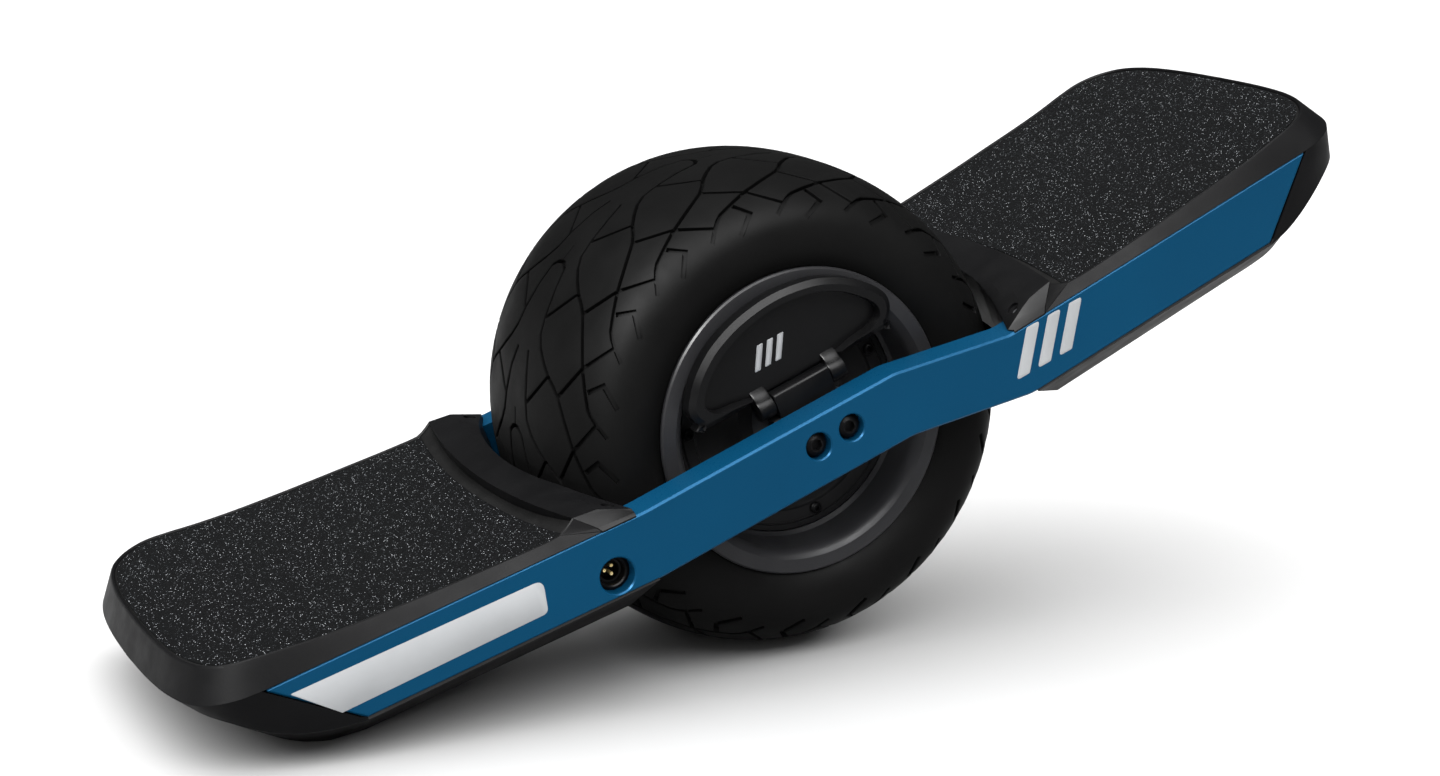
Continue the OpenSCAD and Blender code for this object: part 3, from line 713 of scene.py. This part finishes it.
def hex_screw(x, z, y_face, out, head_r, head_h, socket_r):
    """A button screw seated on the plane y_face, its head towards out (-1 or 1), with a hex socket."""
    prof = [(0.0, 0.0), (head_r, 0.0), (head_r, head_h * 0.35)]
    prof += [(head_r * math.cos(t) ** 0.7, head_h * (0.35 + 0.65 * math.sin(t)))
             for t in np.linspace(0.15, 1.05, 5)]
    prof.append((socket_r * 1.12, head_h))
    n = 24
    turn = np.arange(n) * 2 * math.pi / n
    rings = [(np.full(n, r), h) for r, h in prof]
    off_corner = (turn + math.pi / 6) % (math.pi / 3) - math.pi / 6
    hexagon = socket_r * math.cos(math.pi / 6) / np.cos(off_corner)
    rings += [(hexagon, head_h), (hexagon, head_h * 0.28)]
    verts = [(x + r * math.cos(a), y_face + out * h, z + r * math.sin(a))
             for radii, h in rings for r, a in zip(radii, turn)]
    return verts, tube_faces(len(rings), n) + [tuple(range(len(verts) - n, len(verts)))]


def cover_screws():
    parts = []
    for side in (-1, 1):
        for i in range(SCREW_N):
            a = math.radians(SCREW_PHASE + i * 360 / SCREW_N)
            x, z = SCREW_RING * math.cos(a), SCREW_RING * math.sin(a)
            parts.append(hex_screw(x, z, side * 59.9, side, 3.6, 2.9, 1.8))
    v, f = joined(*parts)
    tidy(make("cover_screws", v, f, "black_steel", "wheel", hides=["cover_screws"], crease=40))


cover_screws()


# ---------------------------------------------------------------- rails
RAIL_OUTLINE = rounded(RAIL_TOP + RAIL_LOW, [1.2, 60, 26, 26, 1.2, 1.2, 40, 40, 60, 1.2], 6)
STRIPE = rounded([(-336.5, 26.8), (-188, 12.6), (-192.5, -6.4), (-316, 2.6)], [0.6, 5, 4, 0.6], 5)
BARS = [[(x, -26.0), (x + 9.5, -26.0), (x + 26.5, 0.5), (x + 17.0, 0.5)] for x in (118.0, 133.5, 149.0)]


def rail(side, tag):
    """Side rail with its bolt recesses, and the hole for the inlet (near) or the button (far)."""
    holes = [circle(s * BOLT_HALF, 0, BOLT_RECESS) for s in (-1, 1)]
    holes.append(circle(*PORT, PORT_R if side < 0 else BUTTON_R, 48))
    v, f = plate(RAIL_OUTLINE, holes, side * HALF_W, side * INNER_Y, bevel=1.2, hole_bevel=0.8)
    creased(make(f"rail_{tag}", v, f, "rail_blue", "board", hides=[f"rail_{tag}"]), 22)


rail(-1, "left")
rail(1, "right")


def decal(name, outlines, y, hides):
    parts = [plate(o, [], y, y + 0.25, bevel=0.06) for o in outlines]
    v, f = joined(*parts)
    tidy(make(name, v, f, "decal", "board", hides=hides, crease=30))


decal("rail_stripe", [STRIPE], -HALF_W - 0.06, ["rail_stripe"])
decal("rail_emblem", [rounded(b, 1.6, 4) for b in BARS], -HALF_W - 0.06, ["rail_emblem"])


def bolts():
    """Hex bolts at the foot of the round recesses, each on a washer."""
    parts = []
    head = HALF_W - 7.5
    rim_r = BOLT_RECESS + 0.3
    cup = [(rim_r, head - 1.0), (rim_r, head + 0.1), (7.0, head + 0.1), (5.2, head - 1.0)]
    for side in (-1, 1):
        for s in (-1, 1):
            parts.append(hex_screw(s * BOLT_HALF, 0, side * head, side, 7.2, 4.6, 3.6))
            v, f = lathe([(r, y * side) for r, y in cup], 32)
            parts.append(([(x + s * BOLT_HALF, y, z) for x, y, z in v], f))
    v, f = joined(*parts)
    tidy(make("axle_bolts", v, f, "black_steel", "board", hides=["axle_bolts"], crease=40))


bolts()


# ---------------------------------------------------------------- charge inlet
def charge_port():
    cx, cz = PORT
    prof = [(PORT_R - 0.05, -114.0), (9.4, -114.6), (8.4, -114.6), (7.7, -114.0), (7.3, -112.4),
            (6.9, -110.2), (5.7, -110.0), (5.5, -103.2), (0.01, -103.0), (0.01, -94.0),
            (PORT_R - 0.05, -94.0)]
    v, f = lathe(prof, 48)
    v = [(x + cx, y, z + cz) for x, y, z in v]
    tidy(make("charge_port", v, f, "port_plastic", "board", hides=["charge_port"], crease=30))
    pin = [(0.01, -109.9), (0.85, -109.85), (1.1, -109.5), (1.1, -103.0), (0.01, -103.0)]
    pin_ring = 2.8
    parts = []
    for degrees in (80, 200, 320):
        a = math.radians(degrees)
        px, pz = cx + pin_ring * math.cos(a), cz - pin_ring * math.sin(a)
        v, f = lathe(pin, 20)
        parts.append(([(x + px, y, z + pz) for x, y, z in v], f))
    v, f = joined(*parts)
    tidy(make("charge_pins", v, f, "contact_brass", "board", hides=["charge_pins"], crease=30))


charge_port()


# ---------------------------------------------------------------- ends: shells lofted between outlines
# stations from the wheel to the tip: pad edge x, half width, height over the rail; crease x, half width
FRONT = [(168.4, 116.7, 6.3, 147.3, 122), (174, 117.0, 6.0, 158, 122), (182, 117.2, 6.1, 170, 122),
         (195, 117.2, 6.4, 187, 122), (215, 117.2, 7.1, 210, 122), (240, 117.2, 8.0, 238, 122),
         (265, 117.2, 9.1, 265, 122), (290, 117.2, 10.6, 292, 122), (312, 117.2, 12.6, 316, 122),
         (330, 117.0, 15.0, 335, 122), (344, 116.0, 16.6, 349, 121.9), (355, 112.0, 17.0, 361, 119.4),
         (363.5, 105.0, 17.2, 372, 113), (370, 95.0, 17.3, 380, 103), (374.5, 80.0, 17.4, 385.5, 88),
         (377.6, 60.0, 17.4, 389.4, 66), (379.4, 32.0, 17.4, 391.6, 36), (380, 0, 17.4, 392.4, 0)]
REAR = [(172.8, 116.7, 6.4, 149.6, 122), (178, 117.0, 6.2, 161, 122), (186, 117.2, 6.2, 173, 122),
        (199, 117.2, 6.5, 190, 122), (218, 117.2, 7.2, 212, 122), (242, 117.2, 8.2, 240, 122),
        (265, 117.2, 9.5, 265, 122), (290, 117.2, 10.8, 292, 122), (312, 117.2, 12.4, 316, 122),
        (330, 117.0, 14.6, 335, 122), (345, 116.0, 16.2, 350, 121.9), (357, 112.0, 16.7, 362, 119.6),
        (366, 105.0, 16.9, 373, 113.4), (373, 95.0, 17.0, 381.5, 103), (378, 80.0, 17.0, 387.2, 88),
        (381, 60.0, 17.0, 391, 66), (382.6, 32.0, 17.0, 393.2, 36), (383, 0, 17.0, 394, 0)]
# short curve of the pad's edge from the seam down to the first station: distance, half width, height
FRONT_DIP = [(157.7, 116.0, 12.1), (161, 116.2, 9.9), (164.6, 116.4, 7.8)]
REAR_DIP = [(159.6, 116.0, 12.7), (163.5, 116.2, 10.4), (168, 116.4, 8.2)]
# where the two side facets meet on the seam, and the seam's foot on the rail
FRONT_FOLD, FRONT_FOOT = (148.8, 120.6, 22.8), (147.3, 122.0, 20.5)
REAR_FOLD, REAR_FOOT = (151.9, 120.6, 5.9), (149.6, 122.0, 3.0)
# lower crease and belly edge, from the rail's cut to the tip: crease x, half, z; belly x, half, z
FRONT_LOW = [(305, 122, -8.6, 303, 84, -31.3), (318, 121.6, -5.2, 314, 84, -28.6),
             (330, 120.8, -1.2, 323.2, 84, -26.3), (342, 119.2, 4.0, 331, 82.5, -23.0),
             (354, 116.2, 11.0, 338, 79.5, -19.8), (364, 111, 18.4, 345, 75, -15.4),
             (371.5, 103, 23.6, 351, 69, -10.8), (376.5, 92, 25.6, 356, 61, -6.6),
             (380, 76, 26.0, 360, 50, -3.0), (382.6, 54, 26.0, 362.8, 35, -0.6),
             (383.8, 28, 26.0, 364.2, 18, 0.6), (384, 0, 26.0, 364.6, 0, 1.0)]
REAR_LOW = [(308, 122, -32.6, 300, 84, -57.5), (322, 121.6, -29.4, 314, 84, -56.8),
            (336, 120.6, -24.0, 327, 84, -55.2), (349, 119, -17.6, 337, 82.8, -52.4),
            (361, 115.6, -12.2, 346, 80, -48.2), (371.5, 110, -8.8, 354, 75.5, -43.2),
            (379, 101.5, -8.0, 361, 69, -38.0), (383, 90, -7.4, 366.6, 60, -33.4),
            (385.6, 74, -6.6, 370.6, 48, -30.2), (387, 54, -6.2, 373.2, 33, -28.4),
            (387.8, 28, -6.0, 374.4, 17, -27.8), (388, 0, -6.0, 374.8, 0, -27.6)]


# points that a loft lays per row of its table
PER_STATION = 5
# the crease part of the lower cap starts at the rail's cut
CUT_X = 348.5


def bowed(x0, r, y):
    """X of an arc of radius r that passes x0 at the middle and bends towards the wheel at its ends."""
    return x0 - (r - math.sqrt(r * r - y * y))


def mark_sharp(ob, a, b, near=0.5):
    """Marks the edges of ob that lie along the board-axis line from a to b as sharp."""
    p, q = PLACE @ Vector(a), PLACE @ Vector(b)
    line = (q - p).normalized()
    me = ob.data
    for e in me.edges:
        ends = [me.vertices[i].co for i in e.vertices]
        off = [((v - p) - line * (v - p).dot(line)).length for v in ends]
        if max(off) < near * MM:
            e.use_edge_sharp = True


def rolled(edge, down, inward):
    """Points from the band over its rounded upper edge and down inside it."""
    up = np.array([0, 0, 1.0])
    return [edge + down * 1.5, edge + down * 0.5 + inward * 0.05, edge + inward * 0.55 + up * 0.04,
            edge + inward * 1.2 - up * 0.2, edge + inward * 1.7 - up * 0.8, edge + inward * 1.9 - up * 2.2]


def upper_shell(sign, stations, dip, fold, foot, top, tag):
    """Sloping band over the rail and round the end, with its rolled top edge."""
    rows = []
    for px, py, ph, cx, cy in curve_through(stations, PER_STATION):
        edge = np.array([sign * px, -py, top(sign * px) + ph])
        crease = np.array([sign * cx, -cy, top(sign * cx) + 0.12])
        turn = math.radians(90) * min(1.0, max(0.0, (px - 340) / 40)) ** 1.3
        inward = np.array([-sign * math.sin(turn), math.cos(turn), 0.0])
        down = crease - edge
        down /= np.linalg.norm(down)
        rows.append([crease, crease * 0.5 + edge * 0.5] + rolled(edge, down, inward))
    near = np.array(rows)
    far = near[::-1][1:].copy()
    far[:, :, 1] *= -1
    ring = np.concatenate([near, far])
    verts = ring.reshape(-1, 3)
    faces = grid_faces(*ring.shape[:2])
    # the bright facet between the dip of the pad's edge and the seam, each side
    px, py, ph = stations[0][:3]
    edges = [np.array([sign * x, y, top(sign * x) + h]) for x, y, h in dip + [(px, py, ph)]]
    for side in (-1, 1):
        mirror = np.array([1.0, side, 1.0])
        corner = np.array([sign * fold[0], side * fold[1], fold[2]])
        inward = np.array([0, -side * 1.0, 0])
        fan = []
        for edge in edges * mirror:
            down = (corner - edge) / np.linalg.norm(corner - edge)
            fan.append([corner, corner * 0.5 + edge * 0.5] + rolled(edge, down, inward))
        fan = np.array(fan)
        faces += grid_faces(*fan.shape[:2], start=len(verts))
        verts = np.concatenate([verts, fan.reshape(-1, 3)])
        last = len(verts)
        base = (sign * foot[0], side * foot[1], foot[2] + 0.1)
        verts = np.concatenate([verts, np.array([corner, fan[-1][2], base])])
        faces.append((last, last + 1, last + 2))
    ob = make(f"{tag}_footpad_band", verts, faces, "bumper_plastic", "board", crease=24)
    tidy(ob)
    if sum(p.normal.z * p.area for p in ob.data.polygons) < 0:
        ob.data.flip_normals()
    shell(ob, 1.6)
    ob.data.set_sharp_from_angle(angle=math.radians(24))
    for side in (-1, 1):
        mark_sharp(ob, (sign * fold[0], side * fold[1], fold[2]), (sign * px, side * py, top(sign * px) + ph))


def pad_height(stations, dip, top, sign):
    """Height of the pad's edge as a smooth function of distance from the axle."""
    s = np.vstack([np.array(dip), curve_through(stations, 8)[:, :3]])
    d, h = s[:, 0], s[:, 2]
    order = np.argsort(d)
    d, h = d[order], h[order]
    return lambda x: top(sign * x) + np.interp(x, d, h)


def deck(sign, stations, dip, top, tag, seam0, grip0):
    """The black deck that the grip lies on, from the seam to the end, and the grip sheet itself."""
    height = pad_height(stations, dip, top, sign)
    s = curve_through(stations, PER_STATION)
    edge_x, edge_y = s[:, 0], s[:, 1]
    tip = edge_x.max()
    # the outline from the tip back along one side, as x for a given y
    round_y, round_x = edge_y[::-1][:60], edge_x[::-1][:60]

    def sheet(x_in, inset_by, drop, across, along, rough, thick, name, slot, look, hides):
        verts = []
        rng = np.random.default_rng(11 if sign < 0 else 12)
        for j in range(across + 1):
            y = (-1 + 2 * j / across) * (116.8 - inset_by)
            x0 = bowed(x_in, SEAM_R, y)
            end = np.interp(abs(y) + inset_by, round_y, round_x - inset_by)
            x1 = max(min(end, tip - inset_by), x0 + 1)
            for i in range(along + 1):
                x = x0 + (x1 - x0) * (i / along) ** 0.9
                verts.append([sign * x, y, height(x) - drop])
        verts = np.array(verts)
        if rough:
            inside = np.zeros((across + 1, along + 1))
            inside[1:-1, 1:-1] = 1
            verts[:, 2] += rough * rng.random(len(verts)) ** 2.2 * inside.reshape(-1)
        faces = grid_faces(across + 1, along + 1)
        ob = make(name, verts, faces, slot, "board", hides=hides, look=look, crease=60)
        tidy(ob)
        if sum(p.normal.z for p in ob.data.polygons) < 0:
            ob.data.flip_normals()
        shell(ob, thick)

    # the deck takes the darker copy of the bumper plastic: painted shade along the ledge by the grip
    sheet(seam0, 1.6, 1.5, 60, 60, 0.0, 3.0, f"{tag}_footpad_deck", "bumper_plastic", "ledge_shade_plastic",
          [f"{tag}_footpad"])
    across, along = ((216, 200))
    sheet(grip0, 2.6, 0.9, across, along, 0.22, 0.9, f"{tag}_grip", "grip", "grip", [f"{tag}_grip"])


def turning(x, y):
    """How far round the end each point lies, 0 to 1, mostly by the direction the line runs in."""
    dx, dy = np.gradient(x), np.gradient(y)
    heading = np.maximum.accumulate(np.arctan2(-dy, np.maximum(dx, 0)))
    length = np.concatenate([[0], np.cumsum(np.hypot(np.diff(x), np.diff(y)))])
    turned = (heading - heading[0]) / (heading[-1] - heading[0])
    return 0.75 * turned + 0.25 * length / length[-1]


def lower_shell(sign, low, stations, top, tag, end_pts):
    """Cap under the crease and the belly pan, lofted from crease to lower crease to belly to middle."""
    s = curve_through(low, 4)
    upper = curve_through(stations, PER_STATION)[:, 3:]
    upper = upper[int(np.argmax(upper[:, 0] >= CUT_X)):]
    t_up, t_low = turning(*upper.T), turning(s[:, 0], s[:, 1])
    cap = []
    for t, (mx, my, mz, bx, by, bz) in zip(t_low, s):
        cx, cy = (np.interp(t, t_up, line) for line in upper.T)
        crease = np.array([sign * cx, -cy, top(sign * cx)])
        mid = np.array([sign * mx, -my, mz])
        belly = np.array([sign * bx, -by, bz])
        centre = np.array([sign * bx, 0.0, bz])
        out = [crease + (mid - crease) * t for t in (0, 0.5, 0.94, 1.0)]
        out += [mid + (belly - mid) * t for t in (0.06, 0.35, 0.65, 0.94, 1.0)]
        out += [belly + (centre - belly) * t for t in (0.06, 0.35, 0.65, 1.0)]
        cap.append(out)
    # belly pan from the cap back to the wheel well
    first = cap[0][3:]
    x_end, z_edge, z_flat, x_flat, well0 = end_pts
    targets = []
    for j, (_, y, _) in enumerate(first):
        inward = min(1.0, max(0.0, (HALF_W + y) / (HALF_W - 84))) if j else 0.0
        x = x_end + (x_flat - x_end) * inward
        if j:
            x = max(x, bowed(well0, WELL_R, min(-y, 122)))
        targets.append(np.array([sign * x, y if j else -HALF_W, z_edge + (z_flat - z_edge) * inward]))
    pan = [[p + (end - p) * t for p, end in zip(first, targets)] for t in np.linspace(0, 1, 17)]
    verts, faces = np.empty((0, 3)), []
    for sheet in (np.array(cap), np.array(pan)):
        for mirror in (1, -1):
            faces += grid_faces(*sheet.shape[:2], start=len(verts))
            verts = np.concatenate([verts, sheet.reshape(-1, 3) * (1, mirror, 1)])
    # cap and pan take the darker copy of the bumper plastic: painted shade on the underside
    ob = make(f"{tag}_bumper", verts, faces, "bumper_plastic", "board", hides=[f"{tag}_bumper"],
              look="belly_shade_plastic", crease=24)
    tidy(ob, 2e-5)
    if sum(p.normal.z * p.area for p in ob.data.polygons) > 0:
        ob.data.flip_normals()
    shell(ob, 2.4)
    ob.data.set_sharp_from_angle(angle=math.radians(24))


upper_shell(-1, FRONT, FRONT_DIP, FRONT_FOLD, FRONT_FOOT, top_f, "front")
upper_shell(1, REAR, REAR_DIP, REAR_FOLD, REAR_FOOT, top_r, "rear")
deck(-1, FRONT, FRONT_DIP, top_f, "front", 170.0, 178.0)
deck(1, REAR, REAR_DIP, top_r, "rear", 174.0, 182.0)
lower_shell(-1, FRONT_LOW, FRONT, top_f, "front", (127.0, -22.8, -46.3, 138.0, 147.0))
lower_shell(1, REAR_LOW, REAR, top_r, "rear", (129.0, -39.2, -64.6, 160.0, 148.0))


# ---------------------------------------------------------------- wheel-well trims
def rod(centre, axis, r, length):
    """Closed bar along an axis in the XZ plane, used for screw holes."""
    c, u = np.array(centre, float), np.array(axis, float)
    u /= np.linalg.norm(u)
    v = np.array([0.0, 1.0, 0.0])
    w = np.cross(u, v)
    turns = [k * 2 * math.pi / 32 for k in range(32)]
    return prism([[c + u * h + r * (math.cos(a) * v + math.sin(a) * w) for a in turns] for h in (0, length)])


def trim(sign, tag, well0, seam0, tops, top, fold, foot, tip, hole):
    """Horseshoe between the seam and the wheel well, with two flat facets down to each rail."""
    tx, tz = (np.array(v) for v in zip(*sorted(tops)))
    ys = np.concatenate([np.linspace(0, 96, 25), [101.4, 101.8], np.linspace(104, 116, 7)])
    share = np.array([0, 0.04, 0.15, 0.3, 0.443, 0.6, 0.8, 1.0])
    rows = []
    for y in ys:
        xi = bowed(well0, WELL_R, min(y, 115))
        xs = bowed(seam0 - 0.3, SEAM_R, y)
        x = xs + (xi - xs) * share
        z_xs, z_xi = (-19.5, -19.5) if y < INNER_Y - 0.2 else (top(sign * xs) - 0.6, top(sign * xi) - 0.6)
        row = [(xs, -y, z_xs)] + [(a, -y, np.interp(a, tx, tz)) for a in x] + [(xi, -y, z_xi)]
        rows.append(row)
    near = np.array(rows)
    near[:, :, 0] *= sign
    far = near[::-1][:-1].copy()
    far[:, :, 1] *= -1
    body = np.concatenate([far, near])
    n, m = body.shape[:2]
    verts = [tuple(v) for v in body.reshape(-1, 3)]
    faces = tube_faces(n, m)
    for side, base in ((1, 0), (-1, (n - 1) * m)):
        top_edge = [base + j for j in range(1, m - 1)]
        s0 = len(verts)
        points = [fold, foot, tip[0], tip[1]]
        verts += [(sign * p[0], side * p[1], p[2]) for p in points]
        verts.append((sign * foot[0], side * foot[1], top(sign * foot[0]) - 0.6))
        verts.append((sign * tip[1][0], side * foot[1], top(sign * tip[1][0]) - 0.6))
        fold_i, foot_i, t0, t1, low_a, low_b = range(s0, s0 + 6)
        faces.append(tuple(top_edge) + (t0, fold_i))
        faces.append((fold_i, t0, t1, foot_i))
        faces.append((foot_i, t1, low_b, low_a))
        faces.append((base, top_edge[0], fold_i, foot_i, low_a))
        faces.append((top_edge[-1], base + m - 1, low_b, t1, t0))
        faces.append((base, low_a, low_b, base + m - 1))
    ob = make(f"{tag}_trim", verts, faces, "trim_plastic", "board", hides=[f"{tag}_trim"], crease=180)
    tidy(ob)
    bevel = ob.modifiers.new("edge", "BEVEL")
    bevel.width = 0.45 * MM
    bevel.segments = 2
    bevel.limit_method = "ANGLE"
    bevel.angle_limit = math.radians(13)
    apply(ob)
    hx, hz, lean = hole
    axis = (-sign * math.sin(math.radians(lean)), 0, math.cos(math.radians(lean)))
    cutters = []
    for y in (-108, 108):
        c = np.array([sign * hx, y, hz])
        cutters.append(helper(*rod(c - np.array(axis) * 1.6, axis, 4.0, 12)))
        cutters.append(helper(*rod(c - np.array(axis) * 6, axis, 2.2, 12)))
    carve(ob, cutters)
    ob.data.set_sharp_from_angle(angle=math.radians(20))
    for p in ob.data.polygons:
        p.use_smooth = True


FRONT_TOPS = [(178, 33.9), (157.7, 33.1), (143.1, 30.6), (124.9, 20.8)]
REAR_TOPS = [(184, 17.6), (159.3, 16.0), (144.7, 13.1), (129.7, 4.5), (126, 2.4)]
trim(-1, "front", 150.0, 170.0, FRONT_TOPS, top_f, (148.1, 120.6, 22.8), (146.6, 121.95, 20.2),
     ((125.2, 119.4, 19.3), (125.8, 121.95, 18.5)), (134.5, 26.0, 25))
trim(1, "rear", 151.0, 174.0, REAR_TOPS, top_r, (151.2, 120.6, 5.9), (148.9, 121.95, 2.8),
     ((127.4, 120.8, 2.6), (127.0, 121.95, 1.9)), (137.5, 9.0, 25))


# ---------------------------------------------------------------- carry handle
HANDLE_OUT = [(-56, 31), (-64, 36), (-66.5, 45), (-62, 54), (-54, 63.5), (-40, 73.5), (-20, 81), (5, 84),
              (30, 80.5), (48, 72.5), (62, 62), (70, 51), (70, 42), (65, 35.5), (56, 32)]
HANDLE_BAND_IN = [(30, 33.4), (42, 36.0), (54, 37.6), (60.5, 41.5), (61, 48), (55, 56), (43, 66),
                  (27, 73.2), (5, 76.2), (-16, 73.6), (-34, 67), (-48, 57.2), (-56, 46.8), (-55, 40.5),
                  (-49, 36.6), (-38, 35.2), (-28, 33.0)]
BADGE = [[(x, 45), (x + 4.0, 45), (x + 11.0, 59), (x + 7.0, 59)] for x in (-20.0, -13.0, -6.0)]


def smooth_outline(points, per=6):
    """A smooth closed outline through the points."""
    p = list(points)
    closed = p[-2:] + p + p[:3]
    s = curve_through(closed, per)
    return s[2 * per:(2 + len(p)) * per]


def barrel(x0, x1, r):
    """A rod along X at the hinge line with rolled ends."""
    roll = 0.6
    prof = [(0.01, x0), (r - roll, x0), (r - roll * 0.3, x0 + roll * 0.3), (r, x0 + roll), (r, x1 - roll),
            (r - roll * 0.3, x1 - roll * 0.3), (r - roll, x1), (0.01, x1)]
    verts = []
    for a in (k * 2 * math.pi / 32 for k in range(32)):
        for rr, x in prof:
            verts.append((x, -HINGE_Y + rr * math.cos(a), HINGE_Z + rr * math.sin(a)))
    return verts, grid_faces(32, len(prof), wrap=True)


def wedge(x0, x1, profile, mid, ease, small):
    """A solid along X with one outline in Y and Z, its ends shrunk towards mid over the length ease."""
    stops = ((x0, small), (x0 + ease, 1.0), (x1 - ease, 1.0), (x1, small))
    return prism([[(x, *(mid + (np.array(p) - mid) * k)) for p in profile] for x, k in stops])


def handle():
    """The folding loop with its web, hinge barrels and arms, and the plain badge on the web."""
    out = smooth_outline(HANDLE_OUT)
    split_at = int(np.argmin(np.hypot(out[:, 0] + 40, out[:, 1] - 30.8)))
    ring = np.vstack([out[split_at:], out[:split_at]])
    low = (ring[:, 1] < 34) & (np.abs(ring[:, 0]) < 30)
    band = [tuple(p) for p in ring[~low]]
    inner = curve_through(HANDLE_BAND_IN, 5)
    start = int(np.argmin([math.hypot(p[0] + 30, p[1] - 31) for p in band]))
    band = band[start:] + band[:start]
    if band[3][0] > band[0][0]:
        band = [band[0]] + band[1:][::-1]
    outline = band + [tuple(p) for p in inner]
    front, back = -HINGE_Y - 5.4, -HINGE_Y + 5.4
    web_y = -HINGE_Y + 1.6
    chamfer = np.array([3.4] * len(band) + [0.8] * len(inner))
    loop = plate(outline, [], front, back - 0.2, bevel=2.6, slope=chamfer)
    floor = plate(inset(out, 0.8), [], web_y, back, bevel=0.0)
    parts = [loop, floor]
    arm = [(-HINGE_Y - 4.6, HINGE_Z + 2), (-HINGE_Y - 3.4, HINGE_Z + 7), (-HINGE_Y - 1.0, HINGE_Z + 10),
           (-HINGE_Y + 2.0, HINGE_Z + 12), (-HINGE_Y + 4.8, HINGE_Z + 10), (-HINGE_Y + 5.0, HINGE_Z)]
    for x0, x1 in ((-28, -18), (20.5, 30.5)):
        parts.append(barrel(x0, x1, 6.8))
        parts.append(wedge(x0 + 0.4, x1 - 0.4, arm, np.mean(arm, 0), 0.9, 0.9))
    v, f = joined(*parts)
    creased(make("handle", v, f, "handle_plastic", "carry_handle", hides=["handle"], crease=35), 35)
    parts = [plate(rounded(b, 0.6, 3), [], web_y - 0.3, web_y) for b in BADGE]
    v, f = joined(*parts)
    tidy(make("handle_badge", v, f, "decal", "carry_handle", hides=["handle_badge"]))


handle()


def bracket():
    """A block whose flat front rolls over the hinge line to a round back."""
    y, r = -HINGE_Y, 6.6
    side = [(y - r, 15.0)]
    for t in np.linspace(0, math.pi / 2, 6):
        side.append((y - r + 2.4 * (1 - math.cos(t)), HINGE_Z + 4.2 + 2.4 * math.sin(t)))
    for t in np.linspace(0.1, math.pi / 2, 8):
        side.append((y + r * math.sin(t), HINGE_Z + r * math.cos(t)))
    side.append((y + r, 15.0))
    v, f = wedge(-17.4, 19.9, side, np.array([y, HINGE_Z - 2]), 0.5, 0.96)
    tidy(make("handle_bracket", v, f, "handle_plastic", "board", hides=["handle_bracket"], crease=35))


bracket()

# ---------------------------------------------------------------- CAD nodes that stay as they are
record_slots = {p["node"]: p["material_slot"] for p in frame["record"]["subparts"]}
for name, ob in frame["nodes"].items():
    if ob.hide_render:
        continue
    ob.data.materials.clear()
    ob.data.materials.append(MATS[record_slots[name]])
    for poly in ob.data.polygons:
        poly.use_smooth = True
    ob.data.set_sharp_from_angle(angle=math.radians(30))
    bevel = ob.modifiers.new("edge", "BEVEL")
    bevel.width = 0.0003
    bevel.segments = 2
    bevel.limit_method = "ANGLE"
    bevel.angle_limit = math.radians(40)


# ---------------------------------------------------------------- floor, light, camera
def floor():
    """A large sheet of plain paper."""
    me = bpy.data.meshes.new("floor")
    size = 14.0
    corners = [(-size, -size, 0), (size, -size, 0), (size, size, 0), (-size, size, 0)]
    me.from_pydata(corners, [], [(0, 1, 2, 3)])
    ob = bpy.data.objects.new("floor", me)
    bpy.context.scene.collection.objects.link(ob)
    s = Shader("floor_paper", roughness=0.95, specular=0.0)
    s.colour(s.noise(3, 2), [(0.3, (0.46, 0.46, 0.46, 1)), (0.7, (0.48, 0.48, 0.48, 1))])
    me.materials.append(s.mat)


floor()


def broad_light(name, direction, angle, strength, matt=True, glossy=True):
    """An even light from far away; a wide angle makes its shadows soft."""
    data = bpy.data.lights.new(name, "SUN")
    data.angle = math.radians(angle)
    data.energy = strength
    ob = bpy.data.objects.new(name, data)
    ob.rotation_euler = Vector(direction).to_track_quat("Z", "Y").to_euler()
    ob.visible_diffuse = matt
    ob.visible_glossy = glossy
    bpy.context.scene.collection.objects.link(ob)


def studio_sky(towards, stops):
    """A dim room that brightens evenly towards one direction; stops are (closeness, grey)."""
    world = bpy.data.worlds.new("studio")
    bpy.context.scene.world = world
    world.use_nodes = True
    tree = world.node_tree
    coord = tree.nodes.new("ShaderNodeTexCoord")
    dot = tree.nodes.new("ShaderNodeVectorMath")
    dot.operation = "DOT_PRODUCT"
    dot.inputs[1].default_value = Vector(towards).normalized()
    ramp = tree.nodes.new("ShaderNodeValToRGB")
    band = ramp.color_ramp
    while len(band.elements) < len(stops):
        band.elements.new(0.5)
    for element, (pos, grey) in zip(band.elements, stops):
        element.position = pos
        element.color = (grey, grey, grey, 1)
    tree.links.new(coord.outputs["Generated"], dot.inputs[0])
    tree.links.new(dot.outputs["Value"], ramp.inputs["Fac"])
    tree.links.new(ramp.outputs["Color"], tree.nodes["Background"].inputs["Color"])
    tree.nodes["Background"].inputs["Strength"].default_value = 1.0


studio_sky((-0.35, -0.35, 0.87), [(0.0, 0.04), (0.35, 0.08), (0.95, 1.0)])
broad_light("key", (0.02, 0.16, 0.98), 130, 7.4, glossy=False)
broad_light("front_panel", (0.0, -0.62, 0.78), 46, 10.0, matt=False)
broad_light("left_panel", (-0.66, -0.34, 0.67), 22, 20.0, matt=False)

LENS_MM, SENSOR_MM = 65.63, 36.0
CAMERA_AT = Vector((-0.6733, -1.3832, 0.5269))
LOOK_AT = Vector((-0.00525, 0.0, 0.14901))
cam_data = bpy.data.cameras.new("camera")
cam_data.lens = LENS_MM
cam_data.sensor_width = SENSOR_MM
cam = bpy.data.objects.new("camera", cam_data)
cam.location = CAMERA_AT
cam.rotation_euler = (LOOK_AT - CAMERA_AT).to_track_quat("-Z", "Y").to_euler()
bpy.context.scene.collection.objects.link(cam)
bpy.context.scene.camera = cam
bpy.context.scene.view_settings.view_transform = "Standard"
